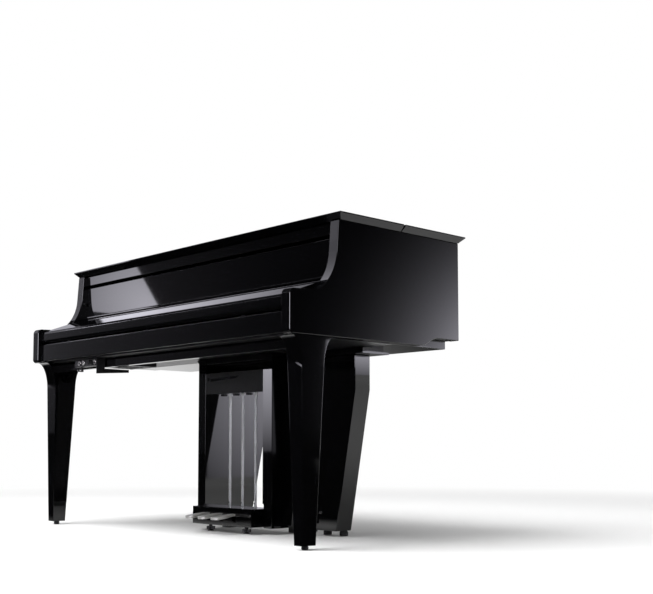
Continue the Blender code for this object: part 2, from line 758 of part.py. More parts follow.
def make_fallboard():
    """The closed fallboard: a sloped board that turns about its round rear edge, with a nose at the front."""
    nose_front = KEYSLIP_SET_BACK
    nose_rear = nose_front + FALLBOARD_NOSE_THICK
    nose_foot = KEYSLIP_TOP + FALLBOARD_GAP
    pivot = (FALLBOARD_PIVOT_DEPTH, FALLBOARD_PIVOT_HEIGHT)
    rear = arc(pivot, FALLBOARD_THICK / 2, 90 + FALLBOARD_SLOPE, FALLBOARD_SLOPE - 90, 14)
    slope_start = (*rear[0], 0)
    slope_end = (*rear[-1], 0)
    corners = [
        slope_end,
        (nose_rear, fallboard_height(nose_rear, -1), 0.004),
        (nose_rear, nose_foot, 0.002),
        (nose_front, nose_foot, FALLBOARD_FOOT_RADIUS),
        (nose_front, fallboard_height(nose_front, 1), FALLBOARD_NOSE_RADIUS),
        slope_start,
    ]
    front = rounded(corners, 9)
    half = INNER_HALF - RUNNING
    origin = (0.0, at(FALLBOARD_PIVOT_DEPTH), FALLBOARD_PIVOT_HEIGHT)
    board = prism("fallboard", front + rear[1:-1], -half, half, polish(), origin=origin)
    bm = bmesh.new()
    pin_half = INNER_HALF - SEAT
    pin_start = (-pin_half, at(FALLBOARD_PIVOT_DEPTH), FALLBOARD_PIVOT_HEIGHT)
    add_cylinder(bm, pin_start, FALLBOARD_PIN, 2 * pin_half, "X", 16)
    join(board, link("fallboard_pins", bm, chrome()))


def make_front_panels():
    """The name board with its ledge, the lower panel, and the upper panel with the music shelf."""
    width = (-INNER_HALF + SEAT, INNER_HALF - SEAT)
    front = NAME_BOARD_DEPTH
    rear = front + NAME_BOARD_THICK
    top = LOWER_PANEL_BOTTOM - SEAT
    ledge = top - LEDGE_HEIGHT
    name_board = [
        (front, NAME_BOARD_BOTTOM, 0),
        (front, ledge, 0),
        (front - LEDGE_REACH, ledge, 0.002),
        (front - LEDGE_REACH, top, 0.003),
        (rear, top, 0),
        (rear, NAME_BOARD_BOTTOM, 0),
    ]
    prism("name_board", rounded(name_board, 3), *width, polish())
    panel_rear = FRONT_PANEL_DEPTH + FRONT_PANEL_THICK
    depth = (FRONT_PANEL_DEPTH, panel_rear)
    height = (LOWER_PANEL_BOTTOM, LOWER_PANEL_TOP)
    bevelled(block("lower_front_panel", width, depth, height, polish()), PANEL_EDGE)
    shelf_top = UPPER_PANEL_BOTTOM + SHELF_THICK
    upper = [
        (FRONT_PANEL_DEPTH, UPPER_PANEL_BOTTOM, PANEL_EDGE),
        (FRONT_PANEL_DEPTH, CASE_TOP, PANEL_EDGE),
        (panel_rear, CASE_TOP, 0),
        (panel_rear, shelf_top, 0),
        (panel_rear + SHELF_DEPTH, shelf_top, 0),
        (panel_rear + SHELF_DEPTH, UPPER_PANEL_BOTTOM, 0),
    ]
    prism("upper_front_panel", rounded(upper, 2), *width, polish())


def make_desk():
    """The music desk, folded back flat on its shelf, with the lip that holds the music."""
    pivot = (DESK_PIVOT_DEPTH, DESK_AXIS)
    half = DESK_THICK / 2
    front = arc(pivot, half, 270, 90, 8)
    outline = front + [
        (DESK_PIVOT_DEPTH, DESK_AXIS + half + DESK_LIP),
        (DESK_PIVOT_DEPTH + DESK_LIP_THICK, DESK_AXIS + half + DESK_LIP),
        (DESK_PIVOT_DEPTH + DESK_LIP_THICK, DESK_AXIS + half),
        (DESK_PIVOT_DEPTH + DESK_HEIGHT, DESK_AXIS + half),
        (DESK_PIVOT_DEPTH + DESK_HEIGHT, DESK_AXIS - half),
    ]
    origin = (0.0, at(DESK_PIVOT_DEPTH), DESK_AXIS)
    prism("music_desk", outline, -DESK_WIDTH / 2, DESK_WIDTH / 2, polish(), origin=origin)


def make_lid():
    """The lid's two leaves, undercut round the outside, and the long hinge between them."""
    half = LID_WIDTH / 2
    inset = half - LID_CHAMFER
    low = LID_TOP - LID_THICK
    middle = low + LID_CHAMFER
    gap = LID_SPLIT_GAP / 2
    axis = (0.0, at(LID_SPLIT), LID_AXIS)
    front = [
        (-inset, inset, LID_FRONT + LID_CHAMFER, LID_SPLIT - gap, low),
        (-half, half, LID_FRONT, LID_SPLIT - gap, middle),
        (-half, half, LID_FRONT, LID_SPLIT - gap, LID_TOP),
    ]
    rear = [
        (-inset, inset, LID_SPLIT + gap, LID_REAR - LID_CHAMFER, low),
        (-half, half, LID_SPLIT + gap, LID_REAR, middle),
        (-half, half, LID_SPLIT + gap, LID_REAR, LID_TOP),
    ]
    front_leaf = lofted("lid_front_leaf", front, polish(), axis)
    rear_leaf = lofted("lid_rear_leaf", rear, polish())
    bm = bmesh.new()
    centre = (-LID_WIDTH, at(LID_SPLIT), LID_AXIS)
    add_cylinder(bm, centre, HINGE_RADIUS + 2 * SEAT, 2 * LID_WIDTH, "X", 20)
    groove = link("hinge_groove", bm, chrome())
    cut(front_leaf, groove)
    cut(rear_leaf, groove)
    reach = half - HINGE_END_INSET
    bm = bmesh.new()
    add_cylinder(bm, (-reach, at(LID_SPLIT), LID_AXIS), HINGE_RADIUS, 2 * reach, "X", 16)
    link("lid_hinge", bm, chrome())


def leg_section(side, part, flare):
    """A level rectangle of a front leg; part is 0 at the shoulder and 1 at the foot."""
    outer = LEG_OUTER_TOP + (LEG_OUTER_FOOT - LEG_OUTER_TOP) * part
    inner = LEG_INNER_TOP + (LEG_INNER_FOOT - LEG_INNER_TOP) * part
    front = LEG_FRONT_TOP + (LEG_FRONT_FOOT - LEG_FRONT_TOP) * part - flare
    rear = LEG_REAR_TOP + (LEG_REAR_FOOT - LEG_REAR_TOP) * part + flare
    left, right = sorted((side * outer, side * inner))
    return left, right, front, rear


def make_front_legs():
    """The two tapered front legs, flared forwards and backwards under the case, and their glides."""
    top = CASE_BOTTOM - SEAT
    reach = top - LEG_SHOULDER
    for name, side in (("left", -1), ("right", 1)):
        sections = [
            (*leg_section(side, 1, 0), LEG_GLIDE_HEIGHT),
            (*leg_section(side, 0, 0), LEG_SHOULDER),
        ]
        for step in range(1, LEG_FLARE_STEPS + 1):
            angle = math.pi / 2 * step / LEG_FLARE_STEPS
            flare = LEG_FLARE * (1 - math.cos(angle))
            sections.append((*leg_section(side, 0, flare), LEG_SHOULDER + reach * math.sin(angle)))
        leg = lofted(f"front_leg_{name}", sections, polish())
        bevelled(leg, LEG_EDGE)
        middle_depth = (LEG_FRONT_FOOT + LEG_REAR_FOOT) / 2
        middle_x = side * (LEG_OUTER_FOOT + LEG_INNER_FOOT) / 2
        glide(f"glide_front_{name}", middle_x, middle_depth, GLIDE_RADIUS, LEG_GLIDE_HEIGHT)


def glide(name, x, depth, radius, height):
    """A round floor glide under a leg."""
    top = height - SEAT
    neck = (radius * 0.8, top)
    profile = [(0, 0), (radius - 0.002, 0), (radius, 0.002), (radius, top * 0.7), neck, (0, top)]
    turned(name, profile, (x, at(depth), 0), rubber(), 24)


def make_rear_leg():
    """The broad rear leg with its fixing block, and its two glides."""
    rear = REAR_LEG_FRONT + REAR_LEG_THICK
    plate_low = CASE_BOTTOM - SEAT - REAR_BLOCK_HEIGHT - REAR_PLATE_HEIGHT
    leg_top = plate_low - SEAT
    sections = [
        (REAR_LEG_LEFT_FOOT, REAR_LEG_RIGHT_FOOT, REAR_LEG_FRONT, rear, REAR_LEG_FOOT),
        (REAR_LEG_LEFT, REAR_LEG_RIGHT, REAR_LEG_FRONT, rear, REAR_LEG_BEND),
        (REAR_LEG_LEFT, REAR_LEG_RIGHT, REAR_LEG_FRONT, rear, leg_top),
    ]
    bevelled(lofted("rear_leg", sections, polish()), PANEL_EDGE)
    margin = REAR_PLATE_MARGIN
    plate_top = plate_low + REAR_PLATE_HEIGHT
    bm = bmesh.new()
    left = LYRE_MIDDLE + LYRE_WIDTH / 2 + RUNNING
    front = REAR_LEG_FRONT - margin
    right = REAR_LEG_RIGHT + REAR_BLOCK_MARGIN
    add_block(bm, (left, at(front), plate_low), (right, at(rear + margin), plate_top))
    plate = link("rear_leg_plate", bm, polish())
    bm = bmesh.new()
    inner_front = REAR_LEG_FRONT - margin / 2
    low = (left + SEAT, at(inner_front), plate_low + SEAT)
    high = (right - margin / 2, at(rear + margin / 2), CASE_BOTTOM - SEAT)
    add_block(bm, low, high)
    join(plate, link("rear_leg_block", bm, polish()))
    glide_depth = rear - REAR_GLIDE_INSET
    right_glide = REAR_LEG_RIGHT_FOOT - REAR_GLIDE_INSET
    left_glide = REAR_LEG_LEFT_FOOT + REAR_GLIDE_INSET
    glide("glide_rear_right", right_glide, glide_depth, REAR_GLIDE_RADIUS, REAR_LEG_FOOT)
    glide("glide_rear_left", left_glide, glide_depth, REAR_GLIDE_RADIUS, REAR_LEG_FOOT)


def make_lyre():
    """The two deep boards, the box between them at the top, and the three metal rods."""
    top = CASE_BOTTOM - SEAT
    outline = [
        (LYRE_FRONT, LYRE_BOARD_FOOT),
        (LYRE_FRONT, top),
        (LYRE_REAR_TOP, top),
        (LYRE_REAR_FOOT, LYRE_BOARD_FOOT),
        (LYRE_REAR_FOOT - LYRE_FOOT_RUN, 0.0),
        (LYRE_FOOT_FRONT, 0.0),
        (LYRE_FOOT_FRONT, LYRE_BOARD_FOOT),
    ]
    left = LYRE_MIDDLE - LYRE_WIDTH / 2
    right = LYRE_MIDDLE + LYRE_WIDTH / 2
    boards = (("lyre_board_left", left), ("lyre_board_right", right - LYRE_BOARD_THICK))
    for name, start in boards:
        bevelled(prism(name, outline, start, start + LYRE_BOARD_THICK, polish()), PANEL_EDGE)
    between = (left + LYRE_BOARD_THICK + SEAT, right - LYRE_BOARD_THICK - SEAT)
    plate_low = top - TOP_PLATE_THICK
    panel_top = plate_low - TOP_RECESS_HEIGHT
    panel_low = panel_top - TOP_PANEL_HEIGHT
    front = LYRE_FRONT + 0.002
    panel_front = front + 0.004
    recess = front + TOP_RECESS_DEPTH
    panel_rear = panel_front + TOP_PANEL_THICK
    box = [
        (front, top),
        (front, plate_low),
        (recess, plate_low),
        (recess, panel_top),
        (panel_front, panel_top),
        (panel_front, panel_low),
        (panel_rear, panel_low),
        (panel_rear, panel_top - TOP_PANEL_THICK),
        (front + TOP_BOX_DEPTH, panel_top - TOP_PANEL_THICK),
        (front + TOP_BOX_DEPTH, top),
    ]
    prism("lyre_top_box", box, *between, polish())
    rod_foot = PEDAL_BOX_TOP + SEAT
    rod_top = panel_top - TOP_PANEL_THICK - SEAT
    for index, name in enumerate(("left", "middle", "right")):
        x = LYRE_MIDDLE + (index - 1) * PEDAL_SPACING
        bm = bmesh.new()
        add_cylinder(bm, (x, at(ROD_DEPTH), rod_foot), ROD_RADIUS, rod_top - rod_foot, sides=16)
        link(f"lyre_rod_{name}", bm, chrome())


def pedal_pivot_depth():
    """How far behind the arms' front the pedals turn."""
    return PEDAL_BOX_FRONT - PEDAL_REACH + PEDAL_LENGTH


def make_pedal_box():
    """The hollow base of the lyre, with a slot for each pedal and a ridge that the pedals turn on."""
    left = LYRE_MIDDLE - PEDAL_BOX_WIDTH / 2
    across = (left, left + PEDAL_BOX_WIDTH)
    rear = PEDAL_BOX_FRONT + PEDAL_BOX_DEPTH
    box = block("pedal_box", across, (PEDAL_BOX_FRONT, rear), (PEDAL_BOX_BOTTOM, PEDAL_BOX_TOP), polish())
    wall = PEDAL_BOX_WALL
    ridge = pedal_pivot_depth()
    ridge_top = PEDAL_HEIGHT - PEDAL_THICK / 2 - SEAT
    floor = PEDAL_BOX_BOTTOM + wall
    ceiling = PEDAL_BOX_TOP - wall
    hollow = [
        (PEDAL_BOX_FRONT + wall, floor),
        (PEDAL_BOX_FRONT + wall, ceiling),
        (rear - wall, ceiling),
        (rear - wall, floor),
        (ridge + PEDAL_RIDGE / 2, floor),
        (ridge + PEDAL_RIDGE / 2, ridge_top),
        (ridge - PEDAL_RIDGE / 2, ridge_top),
        (ridge - PEDAL_RIDGE / 2, floor),
    ]
    cut(box, prism("pedal_box_hollow", hollow, across[0] + wall, across[1] - wall, satin_black()))
    drop = PEDAL_LENGTH * math.sin(math.radians(PEDAL_TRAVEL))
    slot_low = PEDAL_HEIGHT - PEDAL_THICK / 2 - drop
    slot_high = PEDAL_HEIGHT + PEDAL_THICK / 2 + RUNNING
    bm = bmesh.new()
    for index in range(3):
        middle = LYRE_MIDDLE + (index - 1) * PEDAL_SPACING
        half = PEDAL_SHANK_WIDTH / 2 + RUNNING / 2
        low = (middle - half, at(PEDAL_BOX_FRONT - wall), slot_low)
        high = (middle + half, at(PEDAL_BOX_FRONT + 2 * wall), slot_high)
        add_block(bm, low, high)
    cut(box, link("pedal_slots", bm, satin_black()))


def make_pedals():
    """Three pedals with broad round toes, each turning about its rear end."""
    pivot = pedal_pivot_depth()
    for index, name in enumerate(("soft", "sostenuto", "damper")):
        middle = LYRE_MIDDLE + (index - 1) * PEDAL_SPACING
        half_toe = PEDAL_TOE_WIDTH / 2
        half_shank = PEDAL_SHANK_WIDTH / 2
        toe = pivot - PEDAL_LENGTH
        neck = toe + PEDAL_REACH * 0.72
        plan = [(middle - half_shank, at(pivot + 0.006)), (middle - half_shank, at(neck + 0.020))]
        plan.append((middle - half_toe, at(neck - 0.022)))
        for step in range(9):
            angle = math.pi * step / 8
            x = middle - half_toe * math.cos(angle)
            plan.append((x, at(toe + half_toe * (1 - math.sin(angle)))))
        plan.append((middle + half_toe, at(neck - 0.022)))
        plan += [(middle + half_shank, at(neck + 0.020)), (middle + half_shank, at(pivot + 0.006))]
        low = PEDAL_HEIGHT - PEDAL_THICK / 2
        origin = (middle, at(pivot), low)
        pedal = prism(f"pedal_{name}", plan, low, low + PEDAL_THICK, chrome(), "Z", origin)
        bevelled(pedal, 0.0015)


def make_adjusters():
    """Two screw feet that steady the pedal box on the floor."""
    for name, side in (("left", -1), ("right", 1)):
        x = LYRE_MIDDLE + side * ADJUSTER_SPACING / 2
        head = ADJUSTER_HEAD
        top = PEDAL_BOX_BOTTOM - SEAT
        profile = [
            (0, 0),
            (head - 0.001, 0),
            (head, 0.001),
            (head, ADJUSTER_HEAD_HEIGHT - 0.001),
            (head - 0.001, ADJUSTER_HEAD_HEIGHT),
            (ADJUSTER_SCREW, ADJUSTER_HEAD_HEIGHT),
            (ADJUSTER_SCREW, top),
            (0, top),
        ]
        turned(f"lyre_adjuster_{name}", profile, (x, at(ADJUSTER_DEPTH), 0), satin_black(), 24)


def make_jack_arm(low):
    """The upright plate at the right end of the jack box that runs back under the rail."""
    right = JACK_X[1] - JACK_EDGE
    front = JACK_FRONT + JACK_EDGE
    rear = front + JACK_ARM_LENGTH
    behind = JACK_FRONT + JACK_DEPTH - JACK_EDGE
    outline = [
        (front, low + JACK_EDGE),
        (front, low - JACK_ARM_DROP),
        (rear, low - JACK_ARM_REAR_DROP),
        (rear, low - JACK_ARM_CLEAR),
        (behind, low - JACK_ARM_CLEAR),
        (behind, low + JACK_EDGE),
    ]
    return prism("jack_arm", outline, right - JACK_ARM_THICK, right, satin_black())


def make_jacks():
    """The jack box under the key bed with two round sockets, and the hook that headphones hang on."""
    top = CASE_BOTTOM - SEAT
    low = top - JACK_HEIGHT
    box = block("jack_box", JACK_X, (JACK_FRONT, JACK_FRONT + JACK_DEPTH), (low, top), satin_black())
    bm = bmesh.new()
    for share in (0.3, 0.6):
        x = JACK_X[0] + (JACK_X[1] - JACK_X[0]) * share
        add_cylinder(bm, (x, at(JACK_FRONT - 0.005), (low + top) / 2), JACK_HOLE, 0.025, "Y", 20)
    cut(box, link("jack_sockets", bm, satin_black()))
    join(box, make_jack_arm(low))
    half = HOOK_WIDTH / 2
    foot = low - SEAT
    front = JACK_FRONT + 0.004
    hook = [
        (front + 0.014, foot),
        (front + 0.020, foot),
        (front + 0.020, foot - HOOK_DROP),
        (front, foot - HOOK_DROP),
        (front, foot - HOOK_DROP + 0.009),
        (front + 0.004, foot - HOOK_DROP + 0.009),
        (front + 0.004, foot - HOOK_DROP + 0.004),
        (front + 0.014, foot - HOOK_DROP + 0.004),
    ]
    prism("headphone_hook", hook, HOOK_X - half, HOOK_X + half, satin_black())


def make_electronics():
    """The shallow box of electronics under the key bed, with the recess of the power inlet."""
    top = CASE_BOTTOM - SEAT
    rear = ELECTRONICS_FRONT + ELECTRONICS_DEPTH
    depth = (ELECTRONICS_FRONT, rear)
    box = block("electronics_box", ELECTRONICS_X, depth, (top - ELECTRONICS_HEIGHT, top), satin_black())
    middle_x = (ELECTRONICS_X[0] + ELECTRONICS_X[1]) / 2
    middle_z = top - ELECTRONICS_HEIGHT / 2
    across = (middle_x - INLET_WIDTH / 2, middle_x + INLET_WIDTH / 2)
    height = (middle_z - INLET_HEIGHT / 2, middle_z + INLET_HEIGHT / 2)
    recess = block("inlet_recess", across, (rear - INLET_DEPTH, rear + INLET_DEPTH), height, satin_black())
    cut(box, recess)


def make_speakers():
    """The flat loudspeaker box on the bottom board, open above each of its two magnets."""
    floor = CASE_BOTTOM + BOARD_THICK + SEAT
    reach = SPEAKER_X + SPEAKER_RADIUS + SPEAKER_MARGIN
    half_depth = SPEAKER_RADIUS + SPEAKER_MARGIN
    depth = (SPEAKER_DEPTH - half_depth, SPEAKER_DEPTH + half_depth)
    box = block("speaker_box", (-reach, reach), depth, (floor, floor + SPEAKER_HEIGHT), timber())
    bm = bmesh.new()
    for side in (-1, 1):
        centre = (side * SPEAKER_X, at(SPEAKER_DEPTH), floor + SPEAKER_HEIGHT / 2)
        add_cylinder(bm, centre, SPEAKER_RADIUS, SPEAKER_HEIGHT)
    cut(box, link("speaker_wells", bm, timber()))


def main():
    clear_scene()
    make_sides()
    make_case()
    make_cheeks()
    make_controls()
    make_key_frame()
    make_octave()
    make_banks()
    make_action()
    make_fallboard()
    make_front_panels()
    make_desk()
    make_lid()
    make_front_legs()
    make_rear_leg()
    make_lyre()
    make_pedal_box()
    make_pedals()
    make_adjusters()
    make_jacks()
    make_electronics()
    make_speakers()


main()
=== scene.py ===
"""The looks of a hybrid digital piano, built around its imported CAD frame.

The frame gives every piece that moves or carries load. This file gives each of those pieces its real
material and rounded arrises, adds the small fittings, and lights and frames the studio picture. All sizes
are in metres, in the frame of the CAD model: X runs to the treble end, Y to the back and Z up, with the
floor at zero.
"""

import logging
import math
from dataclasses import dataclass
from enum import Enum
from typing import Sequence

import bmesh
import bpy
from mathutils import Matrix, Vector


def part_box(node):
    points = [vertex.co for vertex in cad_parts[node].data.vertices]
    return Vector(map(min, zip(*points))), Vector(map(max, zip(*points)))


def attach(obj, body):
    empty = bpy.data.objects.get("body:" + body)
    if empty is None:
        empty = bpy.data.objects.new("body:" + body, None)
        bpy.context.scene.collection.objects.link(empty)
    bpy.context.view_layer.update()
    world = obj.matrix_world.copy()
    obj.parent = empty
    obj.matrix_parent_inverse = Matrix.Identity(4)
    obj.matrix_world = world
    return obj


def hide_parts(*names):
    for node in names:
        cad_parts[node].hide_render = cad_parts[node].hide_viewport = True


LOG = logging.getLogger("piano")
CASE = "case"
# Points closer than this are one point.
WELD = 0.00001
MM = 0.001

Tree = bpy.types.NodeTree
Socket = bpy.types.NodeSocket
Mesh = bmesh.types.BMesh
Piece = bpy.types.Object
Point = Sequence[float]
Edge = bmesh.types.BMEdge
Node = bpy.types.Node
Look = bpy.types.Material

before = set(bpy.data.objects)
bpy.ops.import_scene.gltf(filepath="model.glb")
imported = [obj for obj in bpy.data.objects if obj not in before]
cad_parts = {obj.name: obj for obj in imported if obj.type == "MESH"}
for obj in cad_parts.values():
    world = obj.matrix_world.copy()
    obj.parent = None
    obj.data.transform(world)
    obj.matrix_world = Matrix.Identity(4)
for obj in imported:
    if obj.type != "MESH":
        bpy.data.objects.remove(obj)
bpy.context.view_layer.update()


# Colour and node helpers


def linear(code: str) -> tuple[float, float, float, float]:
    """Turns an sRGB hex colour into a linear one.

    Args:
        code: Six hex digits after a hash.

    Returns:
        Red, green, blue and an alpha of 1, as shader sockets take them.
    """
    shares = [int(code[i : i + 2], 16) / 255 for i in (1, 3, 5)]
    lit = [s / 12.92 if s <= 0.04045 else ((s + 0.055) / 1.055) ** 2.4 for s in shares]
    return (lit[0], lit[1], lit[2], 1.0)


def add_node(tree: Tree, kind: str, settings: dict, links: dict) -> Node:
    """Adds one node with its settings and what feeds it.

    Args:
        tree: The node tree.
        kind: The node's type name, without the ShaderNode prefix.
        settings: Attribute names, or input names or numbers, with their values.
        links: Input names or numbers, with the output sockets that feed them.

    Returns:
        The new node.
    """
    node = tree.nodes.new("ShaderNode" + kind)
    for name, value in settings.items():
        if hasattr(node, str(name)):
            setattr(node, name, value)
        else:
            node.inputs[name].default_value = value
    for name, socket in links.items():
        tree.links.new(socket, node.inputs[name])
    return node


def blank(name: str) -> tuple[Look, Tree, Socket]:
    """Makes a material whose tree holds the object coordinates alone.

    Args:
        name: The material's name.

    Returns:
        The material, its tree and the coordinates.
    """
    made = bpy.data.materials.new(name)
    made.use_nodes = True
    tree = made.node_tree
    tree.nodes.clear()
    return made, tree, add_node(tree, "TexCoord", {}, {}).outputs["Object"]


# Finishes


class Slot(Enum):
    """The record's material slots."""

    POLISH = "black_polish"
    SATIN = "satin_black"
    METAL = "polished_metal"
    RUBBER = "black_rubber"
    SPRUCE = "spruce"
    WHITE = "white_key"
    BLACK = "black_key"


@dataclass(frozen=True)
class Finish:
    """A surface with one colour, and a fine relief and uneven gloss, whose sizes are in millimetres."""

    name: str
    slot: Slot
    colour: str
    roughness: float
    uneven: float = 0.0
    patch: float = 60.0
    grain: float = 0.0
    depth: float = 0.0
    metallic: float = 0.0
    ior: float = 1.5
    coat: float = 0.0
    sheen: float = 0.0
    tint: str = ""

    def material(self) -> Look:
        """Returns the finish's material, made on first use."""
        held = bpy.data.materials.get(self.name)
        if held is not None:
            return held
        made, tree, place = blank(self.name)
        shader = self.shader(tree, place)
        self.tone(tree, shader, place)
        add_node(tree, "OutputMaterial", {}, {"Surface": shader.outputs["BSDF"]})
        made.diffuse_color = linear(self.colour)
        return made

    def shader(self, tree: Tree, place: Socket) -> Node:
        """Adds the shader, its gloss in the soft patches of handling and polishing, and its fine relief.

        Args:
            tree: The material's node tree.
            place: Object coordinates.

        Returns:
            The shader node.
        """
        values = {
            "Base Color": linear(self.colour),
            "Roughness": self.roughness,
            "Metallic": self.metallic,
            "Coat Weight": self.coat,
            "Sheen Weight": self.sheen,
        }
        if not self.metallic:
            values["IOR"] = self.ior
        feeds = {}
        if self.uneven:
            sizes = {"Scale": 1 / (self.patch * MM), "Detail": 3.0}
            noise = add_node(tree, "TexNoise", sizes, {"Vector": place})
            ends = {"To Min": max(self.roughness - self.uneven, 0.0), "To Max": self.roughness + self.uneven}
            rough = add_node(tree, "MapRange", ends, {"Value": noise.outputs["Fac"]})
            feeds["Roughness"] = rough.outputs["Result"]
        if self.grain:
            sizes = {"Scale": 1 / (self.grain * MM), "Detail": 2.0}
            noise = add_node(tree, "TexNoise", sizes, {"Vector": place})
            sizes = {"Strength": 1.0, "Distance": self.depth * MM}
            bump = add_node(tree, "Bump", sizes, {"Height": noise.outputs["Fac"]})
            feeds["Normal"] = bump.outputs["Normal"]
        return add_node(tree, "BsdfPrincipled", values, feeds)

    def tone(self, tree: Tree, shader: Node, place: Socket) -> None:
        """Drifts the colour between the finish's two tones.

        Args:
            tree: The material's node tree.
            shader: The shader node.
            place: Object coordinates.
        """
        if self.tint:
            values = {"Scale": 1 / (self.patch * MM), "Detail": 4.0}
            noise = add_node(tree, "TexNoise", values, {"Vector": place})
            self.blend(tree, shader, noise.outputs["Fac"], ((0.3, self.colour), (0.7, self.tint)))

    def blend(self, tree: Tree, shader: Node, share: Socket, tones: Sequence[tuple]) -> None:
        """Blends the colour between two tones.

        Args:
            tree: The material's node tree.
            shader: The shader node.
            share: What the blend follows.
            tones: Both tones, each a value of the share and a colour.
        """
        node = add_node(tree, "ValToRGB", {}, {"Fac": share})
        for element, (place, colour) in zip(node.color_ramp.elements, tones):
            element.position = place
            element.color = linear(colour)
        tree.links.new(node.outputs["Color"], shader.inputs["Base Color"])


@dataclass(frozen=True)
class Timber(Finish):
    """Sawn softwood: straight growth rings along X, with pores between them."""

    ring: float = 4.0
    dark: str = "#b98d58"

    def tone(self, tree: Tree, shader: Node, place: Socket) -> None:
        """Draws the growth rings, stretched along the board.

        Args:
            tree: The material's node tree.
            shader: The shader node.
            place: Object coordinates.
        """
        along = add_node(tree, "Mapping", {"Scale": (0.06, 1.0, 1.0)}, {"Vector": place})
        values = {"Scale": 1 / (math.tau * self.ring * MM), "Distortion": 2.5, "Detail": 3.0}
        values["bands_direction"] = "DIAGONAL"
        rings = add_node(tree, "TexWave", values, {"Vector": along.outputs["Vector"]})
        self.blend(tree, shader, rings.outputs["Fac"], ((0.1, self.colour), (0.9, self.dark)))


# Polyester lacquer, sprayed thick, sanded and buffed: a deep black mirror with
# a faint orange peel some 6 mm across, and patches that were buffed a bit less.
POLISH = Finish("polyester_lacquer_buffed", Slot.POLISH, "#030304", 0.030, 0.012, 90.0, 6.0, 0.0012, ior=1.53)
# Lacquer on undersides and inner faces, sprayed once and left unbuffed: an even, soft black.
SATIN = Finish("satin_lacquer_sprayed", Slot.SATIN, "#111113", 0.42, 0.06, 50.0, 1.2, 0.01)
# Black-stained board at the back, with the coarse texture of fibreboard.
BACKBOARD = Finish("fibreboard_stained", Slot.SATIN, "#131314", 0.62, 0.08, 40.0, 0.9, 0.04, tint="#1b1a19")
# ABS housing, moulded against a spark-eroded tool, so it has a fine matt grain.
ABS = Finish("abs_moulded", Slot.SATIN, "#0b0b0c", 0.50, 0.05, 30.0, 0.8, 0.03)
# Bright-drawn steel rod under a clear satin lacquer, which greys its gloss.
ROD = Finish("steel_drawn_satin", Slot.METAL, "#bdbec0", 0.40, 0.04, 30.0, metallic=0.40)
# Cast brass with a satin nickel plate on the pedals' toes, worn soft by shoes.
TOE = Finish("brass_nickel_satin", Slot.METAL, "#b9b8b6", 0.30, 0.05, 20.0, metallic=0.45)
# Cast brass with a polished nickel plate: a little warmer and softer than chrome.
NICKEL = Finish("brass_nickel_plated", Slot.METAL, "#d8d6d2", 0.27, 0.05, 20.0, 1.2, 0.003, metallic=1.0)
# Rolled brass of the long lid hinge, with the fine lines of the rolls.
BRASS = Finish("brass_rolled", Slot.METAL, "#b79357", 0.24, 0.06, 15.0, 0.6, 0.005, metallic=1.0)
# Zinc-plated screws, bright but a little patchy.
ZINC = Finish("steel_zinc_plated", Slot.METAL, "#a9abae", 0.30, 0.08, 4.0, metallic=1.0)
# Vulcanised rubber of glides and stops, matt and slightly grey.
RUBBER = Finish("rubber_vulcanised", Slot.RUBBER, "#1a1a1b", 0.78, 0.06, 10.0, 0.7, 0.04)
# Pressed wool felt, with a soft sheen from its loose fibres.
FELT = Finish("wool_felt_pressed", Slot.SATIN, "#3c1517", 0.95, 0, 12.0, 0.6, 0.2, sheen=0.5, tint="#4c1b1d")
# Acrylic resin key tops, moulded and buffed, a little warm.
KEY_WHITE = Finish("acrylic_key_top", Slot.WHITE, "#ece8dd", 0.22, 0.05, 20.0, 0.9, 0.004, tint="#e9e4d7")
# Phenolic sharps with a brushed satin, as ebony has.
KEY_BLACK = Finish("phenolic_sharp", Slot.BLACK, "#121213", 0.34, 0.06, 12.0, 0.7, 0.01)
# Smooth hard-coated glass over a dark display.
GLASS = Finish("display_glass", Slot.SATIN, "#050608", 0.05, 0.02, 50.0, ior=1.52, coat=0.5)
# Steel sheet with a fine powder coat, which spreads light more than lacquer does.
SHEET = Finish("steel_sheet_powder_coated", Slot.SATIN, "#141416", 0.75, 0.05, 20.0, 0.6, 0.02)
# Spruce of the key frame and the action rack, planed, with 4 mm growth rings.
SPRUCE = Timber("spruce_planed", Slot.SPRUCE, "#d9b784", 0.55, 0.06, 30.0, 1.2, 0.04)
# Limewood of the key levers, paler than spruce and with wider rings.
LIME = Timber("limewood_planed", Slot.SPRUCE, "#dcc49b", 0.5, 0.05, 30.0, 1.0, 0.03, ring=6.0, dark="#c9aa78")


# Mesh helpers


def placed(name: str, shape: Mesh, material: Look) -> Piece:
    """Puts a mesh into the scene as a piece of one material.

    Args:
        name: The piece's name.
        shape: Its mesh, which is freed.
        material: What it is made of.

    Returns:
        The piece.
    """
    mesh = bpy.data.meshes.new(name)
    shape.to_mesh(mesh)
    shape.free()
    mesh.materials.append(material)
    piece = bpy.data.objects.new(name, mesh)
    bpy.context.scene.collection.objects.link(piece)
    return piece


def finished(name: str, shape: Mesh, finish: Finish, body: str = CASE) -> Piece:
    """Makes a piece of a shape that is already in place, and lets it ride.

    Args:
        name: The piece's name.
        shape: Its mesh, which is freed.
        finish: What it is made of.
        body: The CAD body that carries it.

    Returns:
        The piece.
    """
    bmesh.ops.recalc_face_normals(shape, faces=shape.faces)
    piece = placed(name, shape, finish.material())
    for face in piece.data.polygons:
        face.use_smooth = True
    piece.data.set_sharp_from_angle(angle=math.radians(32))
    # Keeps flat faces flat beside rounded arrises.
    weighted = piece.modifiers.new("weighted_normals", "WEIGHTED_NORMAL")
    weighted.keep_sharp = True
    weighted.weight = 90
    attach(piece, body)
    LOG.info("%s: %d faces, %s, on %s", name, len(piece.data.polygons), finish.name, body)
    return piece


